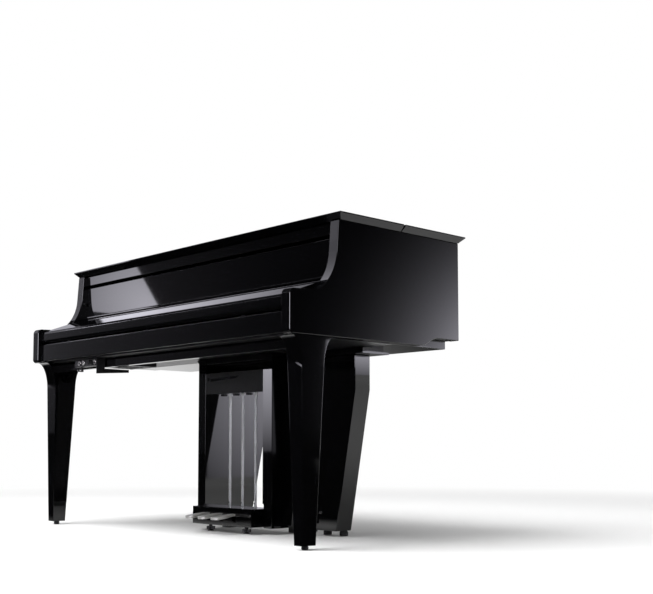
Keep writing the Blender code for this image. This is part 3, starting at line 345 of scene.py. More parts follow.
def bevel(shape: Mesh, edges: Sequence[Edge], width: float, segments: int = 3) -> None:
    """Bevels some edges of a shape.

    Args:
        shape: The mesh.
        edges: The edges.
        width: The width of the bevel on each side of an edge.
        segments: Faces across it.
    """
    bmesh.ops.bevel(
        shape,
        geom=list(edges),
        offset=width,
        offset_type="OFFSET",
        affect="EDGES",
        segments=segments,
        profile=0.5,
        material=-1,
        clamp_overlap=True,
    )


def turned(shape: Mesh, over: float = 28.0) -> list[Edge]:
    """Finds the edges where a shape's surface turns.

    Args:
        shape: The mesh.
        over: The least turn, in degrees.

    Returns:
        Those edges.
    """
    turn = math.radians(over)
    return [e for e in shape.edges if e.is_manifold and e.calc_face_angle() > turn]


def cut(shape: Mesh, point: Point, normal: Point, clear: bool = False) -> list[Edge]:
    """Cuts a shape's faces along a plane.

    Args:
        shape: The mesh.
        point: A point on the plane.
        normal: The plane's normal.
        clear: Whether all on the normal's side goes.

    Returns:
        The edges along the cut.
    """
    held = shape.faces[:] + shape.edges[:] + shape.verts[:]
    plane = {"plane_co": point, "plane_no": normal, "clear_outer": clear}
    made = bmesh.ops.bisect_plane(shape, geom=held, dist=WELD, **plane)
    return [e for e in made["geom_cut"] if isinstance(e, Edge)]


def trim(shape: Mesh, point: Point, outward: Point) -> None:
    """Cuts a closed shape along a plane and closes it again.

    Args:
        shape: The mesh.
        point: A point on the plane.
        outward: The side that goes.
    """
    rim = cut(shape, point, Vector(outward).normalized(), clear=True)
    bmesh.ops.holes_fill(shape, edges=rim, sides=0)


def from_node(node: str) -> Mesh:
    """Copies a CAD node's solid, merged and with its flat faces made whole.

    Args:
        node: The node's name.

    Returns:
        The copy.
    """
    shape = bmesh.new()
    shape.from_mesh(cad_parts[node].data)
    bmesh.ops.remove_doubles(shape, verts=shape.verts, dist=WELD)
    limit = math.radians(0.5)
    bmesh.ops.dissolve_limit(shape, angle_limit=limit, verts=shape.verts, edges=shape.edges)
    return shape


def dressed(node: str, finish: Finish, radius: float, body: str = CASE) -> Piece:
    """Stands a copy with rounded arrises in for a CAD node.

    Args:
        node: The node's name.
        finish: What it is made of.
        radius: The rounding of its arrises.
        body: The CAD body that carries it.

    Returns:
        The piece.
    """
    shape = from_node(node)
    bevel(shape, turned(shape), radius)
    return standing(node, shape, finish, body)


def standing(node: str, shape: Mesh, finish: Finish, body: str) -> Piece:
    """Stands a shape in for a CAD node.

    Args:
        node: The node's name.
        shape: The mesh, which is freed.
        finish: What it is made of.
        body: The CAD body that carries it.

    Returns:
        The piece.
    """
    piece = finished(node + "_dressed", shape, finish, body)
    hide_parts(node)
    return piece


def painted(node: str, finish: Finish) -> None:
    """Gives a CAD node whose shape is right its material.

    Args:
        node: The node's name.
        finish: What it is made of.
    """
    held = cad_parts[node]
    held.data.materials.clear()
    held.data.materials.append(finish.material())
    LOG.info("%s: %s", node, finish.name)


def middle(low: Point, high: Point) -> tuple[float, float]:
    """Returns the middle of a box in plan.

    Args:
        low: The lowest corner.
        high: The highest corner.
    """
    return (low[0] + high[0]) / 2, (low[1] + high[1]) / 2


def box(shape: Mesh, low: Point, high: Point, radius: float = 0.0) -> None:
    """Adds a box between two corners, with rounded edges.

    Args:
        shape: The mesh that it joins.
        low: The lowest corner.
        high: The highest corner.
        radius: The rounding of its edges.
    """
    size = [b - a for a, b in zip(low, high)]
    centre = Vector([(a + b) / 2 for a, b in zip(low, high)])
    place = Matrix.Translation(centre) @ Matrix.Diagonal((*size, 1.0))
    made = bmesh.ops.create_cube(shape, size=1.0, matrix=place)
    if radius:
        bevel(shape, list(dict.fromkeys(e for v in made["verts"] for e in v.link_edges)), radius)


def absorb(shape: Mesh, part: Mesh) -> None:
    """Adds one mesh to another and frees it.

    Args:
        shape: The mesh that grows.
        part: The mesh that joins it.
    """
    held = bpy.data.meshes.new("held")
    part.to_mesh(held)
    part.free()
    shape.from_mesh(held)
    bpy.data.meshes.remove(held)


def lathe(shape: Mesh, profile: Sequence[Point], foot: Point, axis: Point, steps: int = 32) -> None:
    """Turns a profile about an axis into a closed piece.

    Args:
        shape: The mesh that it joins.
        profile: Pairs of radius and height along the axis, from end to end.
        foot: The point on the axis at height 0.
        axis: The axis' direction.
        steps: Faces round the turn.
    """
    part = bmesh.new()
    verts = [part.verts.new((r, 0.0, z)) for r, z in profile]
    edges = [part.edges.new(pair) for pair in zip(verts, verts[1:])]
    bmesh.ops.spin(
        part,
        geom=[*verts, *edges],
        cent=(0, 0, 0),
        axis=(0, 0, 1),
        angle=math.tau,
        steps=steps,
        use_merge=True,
        use_duplicate=False,
    )
    bmesh.ops.remove_doubles(part, verts=part.verts, dist=WELD / 2)
    turn = Vector((0, 0, 1)).rotation_difference(Vector(axis)).to_matrix().to_4x4()
    bmesh.ops.transform(part, matrix=Matrix.Translation(Vector(foot)) @ turn, verts=part.verts)
    absorb(shape, part)


def collar(inner: float, outer: float, shoulder: float, high: float, ease: float) -> list[Point]:
    """Draws the profile of a ring with an eased outer rim.

    Args:
        inner: Its inner radius.
        outer: Its outer radius.
        shoulder: The height where the easing starts.
        high: Its height.
        ease: How far the easing goes in.

    Returns:
        The profile, for the lathe.
    """
    return [(inner, 0), (outer, 0), (outer, shoulder), (outer - ease, high), (inner, high), (inner, 0)]


def screw(shape: Mesh, place: Point, axis: Point, radius: float) -> None:
    """Adds a pan-head screw with a hexagon socket.

    Args:
        shape: The mesh that it joins.
        place: Where its head meets the surface.
        axis: Away from the surface.
        radius: The head's radius.
    """
    head = ((0, 0.15), (0.42, 0.15), (0.46, 0.50), (0.78, 0.44), (1.0, 0.20), (1.0, -0.15), (0, -0.15))
    lathe(shape, [(r * radius, h * radius) for r, h in head], place, axis, 24)


def extruded(outline: Sequence[Point], step: Point) -> Mesh:
    """Makes a closed solid of a flat outline.

    Args:
        outline: Its corners, in order.
        step: From the outline to the far side.

    Returns:
        The solid.
    """
    part = bmesh.new()
    face = part.faces.new([part.verts.new(corner) for corner in outline])
    lifted = bmesh.ops.extrude_face_region(part, geom=[face])["geom"]
    bmesh.ops.translate(part, vec=step, verts=[v for v in lifted if isinstance(v, bmesh.types.BMVert)])
    bmesh.ops.recalc_face_normals(part, faces=part.faces)
    return part


def lobed(shape: Mesh, place: Point, high: float, radius: float, lobes: int, dip: float) -> None:
    """Adds an upright hand wheel or a knurled cap.

    Args:
        shape: The mesh that it joins.
        place: The middle of its underside.
        high: Its height.
        radius: Its radius over the lobes.
        lobes: How many there are.
        dip: How deep the hollows between them are.
    """
    ring = []
    for index in range(lobes * 8):
        turn = math.tau * index / (lobes * 8)
        reach = radius - dip * (1 - math.cos(lobes * turn)) / 2
        ring.append((reach * math.cos(turn), reach * math.sin(turn), 0))
    part = extruded(ring, (0, 0, high))
    bevel(part, turned(part, 69), min(high, radius) * 0.14, 2)
    bmesh.ops.translate(part, vec=place, verts=part.verts)
    absorb(shape, part)


def prism(shape: Mesh, outline: Sequence[Point], foot: float, high: float, axis: int = 1) -> None:
    """Adds a prism between two planes of one axis.

    Args:
        shape: The mesh that it joins.
        outline: Its corners in the other two axes, in order.
        foot: The lower plane.
        high: The upper plane.
        axis: The axis' index.
    """
    step = [0.0, 0.0, 0.0]
    step[axis] = high - foot
    absorb(shape, extruded([(*pair[:axis], foot, *pair[axis:]) for pair in outline], step))


# The instrument


@dataclass
class Casework:
    """The side panels, boards and rails of the case."""

    panel_arris: float = 0.0030
    board_arris: float = 0.0010
    slip_arris: float = 0.0034

    def build(self) -> None:
        """Dresses every fixed board of the case."""
        for node in ("side_panel_left", "side_panel_right"):
            dressed(node, POLISH, self.panel_arris)
        for node in ("cheek_block_left", "cheek_block_right", "front_rail", "bottom_board"):
            dressed(node, POLISH, self.board_arris)
        dressed("keyslip", POLISH, self.slip_arris)
        for node in ("lower_front_panel", "upper_front_panel", "name_board"):
            dressed(node, POLISH, self.board_arris)
        dressed("keybed", SATIN, self.board_arris)
        dressed("back_panel", BACKBOARD, self.board_arris)
        for node in ("action_rack", "key_frame", "speaker_box"):
            dressed(node, SPRUCE, self.board_arris)


@dataclass
class Lid:
    """The two leaves of the lid, undercut all round, and the long hinge between them."""

    lip: float = 0.0035
    split_cut: float = 0.0034
    split_reach: float = 0.024
    leaf_arris: float = 0.0009
    least_turn: float = 20.0

    def build(self) -> None:
        """Dresses the leaves and the hinge."""
        self.leaf("lid_front_leaf", "lid_front_leaf", -1)
        self.leaf("lid_rear_leaf", CASE, 1)
        painted("lid_hinge", BRASS)

    def leaf(self, node: str, body: str, side: int) -> None:
        """Cuts a leaf's outer edges back below their lip and eases the edge at the split.

        Args:
            node: The leaf's CAD node.
            body: The CAD body that carries it.
            side: -1 when the leaf's outer long edge is in front, 1 when it is behind.
        """
        low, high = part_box(node)
        outer, inner = (low[1], high[1]) if side < 0 else (high[1], low[1])
        shape = from_node(node)
        rim = high[2] - self.lip
        trim(shape, (high[0], 0, rim), (1, 0, -1))
        trim(shape, (low[0], 0, rim), (-1, 0, -1))
        trim(shape, (0, outer, rim), (0, side, -1))
        for end in (low[0], high[0]):
            way = (math.copysign(self.split_cut, end), -side * self.split_reach, 0)
            trim(shape, (end, inner + side * self.split_cut, 0), way)
        bevel(shape, turned(shape, self.least_turn), self.leaf_arris)
        standing(node, shape, POLISH, body)


@dataclass
class Fallboard:
    """The closing fallboard and the music desk above it."""

    arris: float = 0.0012

    def build(self) -> None:
        """Dresses the fallboard and the desk."""
        for node in ("fallboard", "music_desk"):
            dressed(node, POLISH, self.arris, node)


@dataclass
class Keyset:
    """All 88 keys: acrylic tops and phenolic sharps on limewood levers."""

    top_thick: float = 0.0026
    lip: float = 0.0012
    white_arris: float = 0.0007
    sharp_arris: float = 0.0016
    sharp_high: float = 0.013
    glue_line: float = 0.0005
    bare_front: float = 0.003

    def build(self) -> None:
        """Dresses every key that moves on its own and both banks."""
        for node in sorted(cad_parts):
            if node.startswith("white_key"):
                self.white(node)
            elif node.startswith("black_key"):
                self.sharp(node)

    def levers(self, piece: Piece, below: float) -> None:
        """Gives what lies under a height the timber of the levers.

        Args:
            piece: The keys.
            below: The height.
        """
        piece.data.materials.append(LIME.material())
        front = min(v.co.y for v in piece.data.vertices) + self.bare_front
        for face in piece.data.polygons:
            if face.center.z < below and face.center.y > front:
                face.material_index = 1

    def white(self, node: str) -> None:
        """Cuts the key tops off the levers, with their front lips.

        Args:
            node: The CAD node of one key or a bank.
        """
        low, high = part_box(node)
        under = high[2] - self.top_thick
        shape = from_node(node)
        cut(shape, (0, 0, under), (0, 0, 1))
        fronts = [f for f in shape.faces if f.normal.y < -0.9 and f.calc_center_median().z > under]
        fronts = [f for f in fronts if f.calc_center_median().y < low[1] + 0.001]
        lips = bmesh.ops.extrude_discrete_faces(shape, faces=fronts)["faces"]
        verts = list(dict.fromkeys(v for f in lips for v in f.verts))
        bmesh.ops.translate(shape, vec=(0, -self.lip, 0), verts=verts)
        edges = [e for e in turned(shape) if all(v.co.z > under - 10 * WELD for v in e.verts)]
        bevel(shape, edges, self.white_arris, 2)
        self.levers(standing(node, shape, KEY_WHITE, node), under - self.glue_line)

    def sharp(self, node: str) -> None:
        """Rounds the sharps over their levers.

        Args:
            node: The CAD node of one sharp or a bank.
        """
        low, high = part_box(node)
        piece = dressed(node, KEY_BLACK, self.sharp_arris, node)
        self.levers(piece, high[2] - self.sharp_high)


@dataclass
class Legs:
    """The three legs, their plate and their glides."""

    arris: float = 0.0024

    def build(self) -> None:
        """Dresses the legs and the glides."""
        for node in ("front_leg_left", "front_leg_right", "rear_leg", "rear_leg_plate"):
            dressed(node, POLISH, self.arris)
        for side in ("left", "right"):
            painted("glide_front_" + side, RUBBER)
            painted("glide_rear_" + side, RUBBER)


@dataclass
class Lyre:
    """The pedal lyre: boards, top box, rods, pedal box and pedals."""

    arris: float = 0.0014
    # Each pedal's toe
    toe_bends: int = 7
    toe_start: float = 0.004
    toe_drop: float = 0.0070
    toe_thick: float = 0.0024
    toe_arris: float = 0.0019
    # The hand wheel of each adjuster, and the pad, neck and stem under it
    wheel: float = 0.0158
    wheel_foot_high: float = 0.0050
    wheel_high: float = 0.0105
    lobes: int = 7
    wheel_dip: float = 0.0042
    pad: tuple[Point, ...] = ((0, 0), (0.0105, 0), (0.0110, 0.0012), (0.0098, 0.0030), (0.0060, 0.0040))
    # The sheet on the top box: its heights, its inset, and the openings in it as X and Z, drawn as black
    # plates that paint the shade inside them
    panel_foot: float = 0.4740
    panel_top: float = 0.5470
    panel_inset: float = 0.002
    slot_shape: tuple[Point, ...] = ((-0.0860, 0.5170), (0.0560, 0.5240), (0.0750, 0.5330), (-0.0860, 0.5270))
    port: tuple[Point, ...] = ((-0.1040, 0.5200), (-0.0930, 0.5200), (-0.0930, 0.5310), (-0.1040, 0.5310))
    # The bracket beside the left board, and the wedge on the right board's front edge
    bracket_wide: float = 0.042
    bracket_deep: float = 0.030
    bracket_heights: tuple[float, float, float] = (0.5640, 0.5940, 0.6010)
    edge_heights: tuple[float, float] = (0.1000, 0.5700)
    edge_proud: float = 0.0040
    edge_sunk: float = 0.002
    # The rods' fittings
    sleeve: tuple[float, ...] = (0.0040, 0.0066, 0.0060, 0.0075, 0.0010)
    clip_near: Point = (-0.030, -0.020, -0.0070)
    clip_far: Point = (-0.010, -0.006, 0.0)
    clip_screw: float = 0.0028
    set_screw: float = 0.0024
    set_screw_high: float = 0.0120
    # The long opening in the pedal box, drawn as a black plate that paints the shade inside it, and the
    # grooves below it
    opening_middle: float = 0.0615
    opening_half: float = 0.0060
    opening_blunt: float = 0.030
    opening_steps: int = 12
    grooves: tuple[float, float] = (0.0300, 0.0385)
    groove: float = 0.0018

    def build(self) -> None:
        """Dresses the lyre."""
        for node in ("lyre_board_left", "lyre_board_right", "lyre_top_box", "pedal_box"):
            dressed(node, POLISH, self.arris)
        for name in ("left", "middle", "right"):
            painted("lyre_rod_" + name, ROD)
        for name in ("soft", "sostenuto", "damper"):
            self.pedal("pedal_" + name)
        for name in ("left", "right"):
            self.wheel_foot("lyre_adjuster_" + name)
        self.top_panel()
        self.board_edge()
        self.bracket()
        self.ferrules()
        self.pedal_slot()

    def pedal(self, node: str) -> None:
        """Thickens a pedal's toe and bends it down towards its tip.

        Args:
            node: The pedal's CAD node.
        """
        low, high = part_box(node)
        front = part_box("pedal_box")[0][1]
        shape = from_node(node)
        for step in range(1, self.toe_bends):
            cut(shape, (0, front + (low[1] - front) * step / self.toe_bends, 0), (0, 1, 0))
        half = (low[2] + high[2]) / 2
        start = front - self.toe_start
        for vert in shape.verts:
            share = max(0.0, min(1.0, (start - vert.co.y) / (start - low[1])))
            if vert.co.z < half:
                vert.co.z -= self.toe_thick * min(1.0, 3 * share)
            vert.co.z -= self.toe_drop * share * share * (3 - 2 * share)
        bevel(shape, turned(shape, 40), self.toe_arris)
        standing(node, shape, TOE, node)

    def wheel_foot(self, node: str) -> None:
        """Makes an adjuster: a foot pad, a hand wheel and a stem.

        Args:
            node: The adjuster's CAD node.
        """
        low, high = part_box(node)
        x, y = middle(low, high)
        shape = bmesh.new()
        top = high[2] - low[2]
        lathe(shape, [*self.pad, (self.pad[-1][0], top), (0, top)], (x, y, low[2]), (0, 0, 1))
        foot = (x, y, low[2] + self.wheel_foot_high)
        lobed(shape, foot, self.wheel_high, self.wheel, self.lobes, self.wheel_dip)
        standing(node, shape, ABS, node)

    def top_panel(self) -> None:
        """The front panel of the top box, with black plates that paint the shade inside its cable slot and a
        port.
        """
        low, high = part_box("lyre_top_box")
        front = low[1]
        shape = bmesh.new()
        near = (low[0] + self.panel_inset, front - 0.0016, self.panel_foot)
        box(shape, near, (high[0] - self.panel_inset, front + 0.0010, self.panel_top), 0.0006)
        finished("lyre_top_panel", shape, SHEET)
        # Black polish plates, a little proud of the sheet, paint the shade inside the cable slot and the
        # port.
        shape = bmesh.new()
        for outline in (self.slot_shape, self.port):
            prism(shape, outline, front - 0.0021, front - 0.0010)
        finished("lyre_slot_painted_shade", shape, POLISH)

    def board_edge(self) -> None:
        """The bevelled front edge of the right board, turned a little to the treble side."""
        low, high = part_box("lyre_board_right")
        front, back = low[1], low[1] + self.edge_sunk
        shape = bmesh.new()
        edge = ((low[0], back), (low[0], front - self.edge_proud), (high[0], front), (high[0], back))
        prism(shape, edge, *self.edge_heights, axis=2)
        bevel(shape, turned(shape), 0.0008, 2)
        finished("lyre_board_edge", shape, POLISH)

    def bracket(self) -> None:
        """The bracket between the left board and the underside of the case."""
        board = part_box("lyre_board_left")[0][0]
        foot, tip, top = self.bracket_heights
        far = board - self.bracket_wide
        shape = bmesh.new()
        prism(shape, ((board, foot), (board, top), (far, top), (far, tip)), 0.0, self.bracket_deep)
        bevel(shape, turned(shape), 0.0015)
        finished("lyre_bracket", shape, ABS)

    def ferrules(self) -> None:
        """The rods' ferrules and clips under the top box and their set screws over the pedal box."""
        shape = bmesh.new()
        clips = bmesh.new()
        for name in ("left", "middle", "right"):
            low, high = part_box("lyre_rod_" + name)
            x, y = middle(low, high)
            under = Vector((x, y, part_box("lyre_top_box")[0][2]))
            near, far = under + Vector(self.clip_near), under + Vector(self.clip_far)
            lathe(shape, collar(*self.sleeve), under, (0, 0, -1))
            screw(clips, (x, low[1], low[2] + self.set_screw_high), (0, -1, 0), self.set_screw)
            box(clips, near, far, 0.0010)
            screw(clips, ((near.x + far.x) / 2, near.y, (near.z + far.z) / 2), (0, -1, 0), self.clip_screw)
        finished("lyre_ferrules", shape, ROD)
        finished("lyre_clips", clips, ABS)

    def pedal_slot(self) -> None:
        """A black polish plate that paints the shade inside the long opening that the pedals move in, and the
        grooves below it.
        """
        low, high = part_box("pedal_box")
        shape = bmesh.new()
        half, blunt = self.opening_half, self.opening_blunt
        left, right = low[0] + 0.010 + blunt, high[0] - 0.012 - blunt
        arc = [math.pi * step / self.opening_steps for step in range(self.opening_steps + 1)]
        outline = [(left - blunt * math.sin(a), self.opening_middle + half * math.cos(a)) for a in arc]
        outline += [(right + blunt * math.sin(a), self.opening_middle - half * math.cos(a)) for a in arc]
        # The lens-shaped plate over the opening paints the shade inside it.
        prism(shape, outline, low[1] - 0.0009, low[1] + 0.0006)
        for z in self.grooves:
            near = (low[0] + 0.004, low[1] - 0.0008, z)
            box(shape, near, (high[0] - 0.004, low[1] + 0.0005, z + self.groove), 0.0003)
        finished("pedal_slot_shade_and_grooves", shape, POLISH)


@dataclass
class Controls:
    """The display, the button and the knob on the cheeks, and the boxes under the keybed."""

    arris: float = 0.0008
    # The display's frame
    bezel_wide: float = 0.0022
    bezel_rise: float = 0.0006
    # The button's rim and ring
    button_ease: float = 0.0006
    ring_gap: float = 0.0005
    ring_wide: float = 0.0017
    # The knob's knurls and cap
    knurls: int = 36
    knurl_dip: float = 0.0005
    cap: float = 0.0078
    cap_high: float = 0.0008
    mark: tuple[float, float] = (0.0030, 0.0074)
    # The sockets and the trimmer on the jack box
    socket: float = 0.0088
    socket_bore: float = 0.0046
    socket_height: float = 0.5880
    sockets: tuple[float, ...] = (-0.4685, -0.4406, -0.3640)
    trimmer_x: float = -0.3915
    trimmer: tuple[Point, ...] = ((0, 0), (0.0085, 0), (0.0080, 0.0090), (0.0070, 0.0100), (0, 0.0100))
    # The electronics box's ribs and screws
    ribs: int = 9
    rib_pitch: float = 0.0165
    rib_wide: float = 0.006
    rib_margins: tuple[float, float] = (0.040, 0.030)
    box_screw: float = 0.0036
    screw_inset: float = 0.012

    def build(self) -> None:
        """Dresses the controls and boxes."""
        dressed("touch_display", GLASS, self.arris)
        for node in ("jack_box", "headphone_hook", "electronics_box"):
            dressed(node, ABS, self.arris)
        self.bezel()
        self.button()
        self.knob()
        self.jacks()
        self.box_vents()

    def bezel(self) -> None:
        """A thin zinc-plated frame round the display."""
        low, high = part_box("touch_display")
        wide, top, foot = self.bezel_wide, high[2] + self.bezel_rise, low[2]
        shape = bmesh.new()
        for y in (low[1] - wide, high[1]):
            box(shape, (low[0] - wide, y, foot), (high[0] + wide, y + wide, top), 0.0004)
        for x in (low[0] - wide, high[0]):
            box(shape, (x, low[1], foot), (x + wide, high[1], top), 0.0004)
        finished("display_bezel", shape, ZINC)

    def button(self) -> None:
        """The power button, with its dished top, and the ring that it moves in."""
        low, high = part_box("power_button")
        x, y = middle(low, high)
        radius, tall = (high[0] - low[0]) / 2, high[2] - low[2]
        ease = self.button_ease
        skirt = [(0, 0), (radius, 0), (radius, tall - ease), (radius - ease, tall)]
        dish = [*skirt, (radius * 0.5, tall - ease), (0, tall - 1.5 * ease)]
        shape = bmesh.new()
        lathe(shape, dish, (x, y, low[2]), (0, 0, 1), 48)
        standing("power_button", shape, ABS, "power_button")
        ring = bmesh.new()
        inner = radius + self.ring_gap
        profile = collar(inner, inner + self.ring_wide, 0.0006, 0.0010, 0.0004)
        lathe(ring, profile, (x, y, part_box("cheek_block_right")[1][2]), (0, 0, 1), 48)
        finished("power_button_ring", ring, NICKEL)

    def knob(self) -> None:
        """The volume knob, with a knurled skirt and a bright cap."""
        low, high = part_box("volume_knob")
        x, y = middle(low, high)
        top = high[2]
        shape = bmesh.new()
        tall, radius = top - low[2] - 0.0006, (high[0] - low[0]) / 2
        lobed(shape, (x, y, low[2]), tall, radius, self.knurls, self.knurl_dip)
        standing("volume_knob", shape, ABS, "volume_knob")
        cap = bmesh.new()
        radius, tall = self.cap, self.cap_high
        disc = ((0, 0), (radius, 0), (radius, tall / 2), (radius - tall, tall), (0, tall))
        lathe(cap, disc, (x, y, top - tall), (0, 0, 1))
        near = (x - 0.0005, y + self.mark[0], top - 0.0002)
        box(cap, near, (x + 0.0005, y + self.mark[1], top + 0.0002))
        finished("volume_knob_cap", cap, NICKEL, "volume_knob")

    def jacks(self) -> None:
        """The sockets and the trimmer on the jack box's front."""
        low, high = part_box("jack_box")
        front, z = low[1], self.socket_height
        rims = bmesh.new()
        wells = bmesh.new()
        bore = self.socket_bore + 0.0002
        well = ((0, -0.001), (bore, -0.001), (bore, 0.0006), (0, 0.0006))
        for x in self.sockets:
            profile = collar(self.socket_bore, self.socket, 0.0012, 0.0022, 0.0010)
            lathe(rims, profile, (x, front, z), (0, -1, 0))
            lathe(wells, well, (x, front, z), (0, -1, 0), 24)
        lathe(wells, self.trimmer, (self.trimmer_x, front, z), (0, -1, 0))
        finished("jack_rims", rims, NICKEL)
        finished("jack_wells", wells, RUBBER)

    def box_vents(self) -> None:
        """Ribs over the vents and the screws of the electronics box."""
        low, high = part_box("electronics_box")
        shape = bmesh.new()
        side, end = self.rib_margins
        for step in range(self.ribs):
            y = low[1] + end + self.rib_pitch * step
            near = (low[0] + side, y, low[2] - 0.0020)
            box(shape, near, (high[0] - side, y + self.rib_wide, low[2] + 0.0010), 0.0010)
        finished("electronics_box_ribs", shape, ABS)
        screws = bmesh.new()
        for x in (low[0] + self.screw_inset, high[0] - self.screw_inset):
            for y in (low[1] + self.screw_inset, high[1] - self.screw_inset):
                screw(screws, (x, y, low[2]), (0, 0, -1), self.box_screw)
        finished("electronics_box_screws", screws, ZINC)


@dataclass
class Trim:
    """Felt, catch, pads and back screws, small pieces fixed to the case."""

    felt_drop: float = 0.0052
    catch_radius: float = 0.0065
    catch_height: float = 0.838
    pad_size: float = 0.016
    pads_x: tuple[float, ...] = (-0.5, 0.0, 0.5)
    back_screw: float = 0.0048
    back_columns: int = 7
    back_margin: float = 0.030
    back_foot: float = 0.016

    def build(self) -> None:
        """Adds every small piece."""
        self.felt()
        self.catch()
        self.pads()
        self.back_screws()

    def felt(self) -> None:
        """The strip of felt under the name board, above the keys."""
        low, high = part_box("name_board")
        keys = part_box("action_rack")
        shape = bmesh.new()
        near = (keys[0][0] + 0.002, low[1] + 0.002, low[2] - self.felt_drop)
        box(shape, near, (keys[1][0] - 0.002, high[1] - 0.004, low[2] + 0.0006), 0.0016)
        finished("name_board_felt", shape, FELT)

    def catch(self) -> None:
        """The small round catch on the inner face of the left arm."""
        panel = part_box("side_panel_left")
        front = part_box("lower_front_panel")
        shape = bmesh.new()
        place = (panel[1][0], front[0][1] - self.catch_radius - 0.002, self.catch_height)
        knob = ((0, 0.0048), (0.55, 0.0048), (0.90, 0.0040), (1.0, 0.0030), (1.0, -0.0004), (0, -0.0004))
        lathe(shape, [(r * self.catch_radius, h) for r, h in knob], place, (1, 0, 0), 28)
        finished("arm_catch", shape, ABS)

    def pads(self) -> None:
        """Rubber pads on the keyslip that the closed fallboard rests on."""
        low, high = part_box("keyslip")
        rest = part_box("fallboard")[0][2] - 0.0003
        shape = bmesh.new()
        for x in self.pads_x:
            near = (x - self.pad_size / 2, low[1] + 0.0065, high[2] - 0.0004)
            box(shape, near, (x + self.pad_size / 2, high[1] - 0.0035, rest), 0.0006)
        finished("keyslip_pads", shape, RUBBER)

    def back_screws(self) -> None:
        """Two rows of screws that hold the back panel."""
        low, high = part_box("back_panel")
        shape = bmesh.new()
        run = high[0] - low[0] - 2 * self.back_margin
        for step in range(self.back_columns):
            x = low[0] + self.back_margin + run * step / (self.back_columns - 1)
            for z in (low[2] + self.back_foot, high[2] - self.back_margin):
                screw(shape, (x, high[1], z), (0, 1, 0), self.back_screw)
        finished("back_panel_screws", shape, ZINC)


# Studio and camera


# The cool white that the polish mirrors from the studio's lamps.
COOL = "#f5f3ff"
SOFT = {"interpolation_type": "SMOOTHSTEP"}


def band(centre: Point, inner: float, outer: float, start: float, end: float, steps: int) -> list[Point]:
    """Draws a band between two arcs of one centre.

    Args:
        centre: The arcs' centre.
        inner: The inner arc's radius.
        outer: The outer arc's radius.
        start: Where the band starts, in degrees.
        end: Where it ends, in degrees.
        steps: Stretches along each arc.

    Returns:
        The outline's corners, in order.
    """
    turns = [math.radians(start + (end - start) * step / steps) for step in range(steps + 1)]
    ways = [(inner, turn) for turn in turns] + [(outer, turn) for turn in reversed(turns)]
    return [(centre[0] + r * math.cos(turn), centre[1] + r * math.sin(turn)) for r, turn in ways]


@dataclass(frozen=True)
class Glow:
    """A soft patch of light on the studio walls, as the polish mirrors it; angles in degrees."""

    azimuth: float
    height: float
    width: float
    strength: float

    def way(self) -> Vector:
        """Returns the direction of the patch's middle."""
        turn, rise = math.radians(self.azimuth), math.radians(self.height)
        return Vector((math.cos(turn) * math.cos(rise), math.sin(turn) * math.cos(rise), math.sin(rise)))

    def shine(self, tree: Tree, aim: Socket) -> Socket:
        """Adds the patch to the walls' material.

        Args:
            tree: The walls' node tree.
            aim: The direction of the point, of length 1.

        Returns:
            The patch's radiance.
        """
        near = add_node(tree, "VectorMath", {"operation": "DOT_PRODUCT", 1: self.way()}, {0: aim})
        sharp = 2 / math.radians(self.width) ** 2
        values = {"operation": "MULTIPLY_ADD", 1: sharp, 2: math.log(self.strength) - sharp}
        power = add_node(tree, "Math", values, {0: near.outputs["Value"]})
        return add_node(tree, "Math", {"operation": "EXPONENT"}, {0: power.outputs[0]}).outputs[0]


@dataclass(frozen=True)
class Flag:
    """A flag that keeps the lamps off the floor beyond a straight line, with a soft edge."""

    azimuth: float
    start: float
    end: float

    def dark(self, tree: Tree, place: Socket) -> Socket:
        """Adds the flag's shade to the dim floor's material.

        Args:
            tree: The floor's node tree.
            place: The point on the floor.

        Returns:
            A value of 1 in the dark, 0 away from it.
        """
        turn = math.radians(self.azimuth)
        way = (math.cos(turn), math.sin(turn), 0.0)
        along = add_node(tree, "VectorMath", {"operation": "DOT_PRODUCT", 1: way}, {0: place})
        ends = {**SOFT, "From Min": self.start, "From Max": self.end}
        return add_node(tree, "MapRange", ends, {"Value": along.outputs["Value"]}).outputs["Result"]


@dataclass(frozen=True)
class Card:
    """A lit cloth card in a plane of one X, brightest near its lamp, its outline as Y and Z."""

    name: str
    wall: float
    outline: Sequence[Point]
    core: Point
    bright: float
    dim: float
    reach: float

    def shape(self) -> Mesh:
        """Returns the card's mesh."""
        shape = bmesh.new()
        shape.faces.new([shape.verts.new((self.wall, y, z)) for y, z in self.outline])
        return shape

    def material(self) -> Look:
        """Returns the lit cloth, which fades with the distance from its lamp."""
        made, tree, place = blank(self.name + "_cloth")
        core = {"operation": "DISTANCE", 1: (self.wall, *self.core)}
        away = add_node(tree, "VectorMath", core, {0: place}).outputs["Value"]
        ends = {"From Max": self.reach, "To Min": self.bright, "To Max": self.dim}
        strength = add_node(tree, "MapRange", ends, {"Value": away}).outputs["Result"]
        glow = add_node(tree, "Emission", {"Color": linear(COOL)}, {"Strength": strength})
        add_node(tree, "OutputMaterial", {}, {"Surface": glow.outputs[0]})
        return made


# The slanted patch on the left of the front panels
SOFTBOX = ((-2.61, 1.94), (-3.13, 1.98), (-3.20, 1.88), (-3.50, 1.45), (-2.61, 1.45))
# The bright band along the fallboard's slope
STRIP = ((-2.60, 1.95), (-4.00, 2.62), (-5.40, 3.34), (-5.40, 3.56), (-3.50, 2.58), (-2.60, 2.10))
# The fillets of the left arm's front edge
FILL_LEFT = ((-2.57, 1.80), (-2.57, 2.12), (-2.35, 2.60), (-1.55, 3.25), (-0.40, 3.55))
FILL_LEFT += ((-0.40, 2.95), (-1.30, 2.70), (-2.00, 2.20), (-2.15, 1.80))
# The sweep of the right arm's front edge
FILL_RIGHT = band((-0.25, 0.80), 5.45, 6.30, 160.0, 85.0, 5)
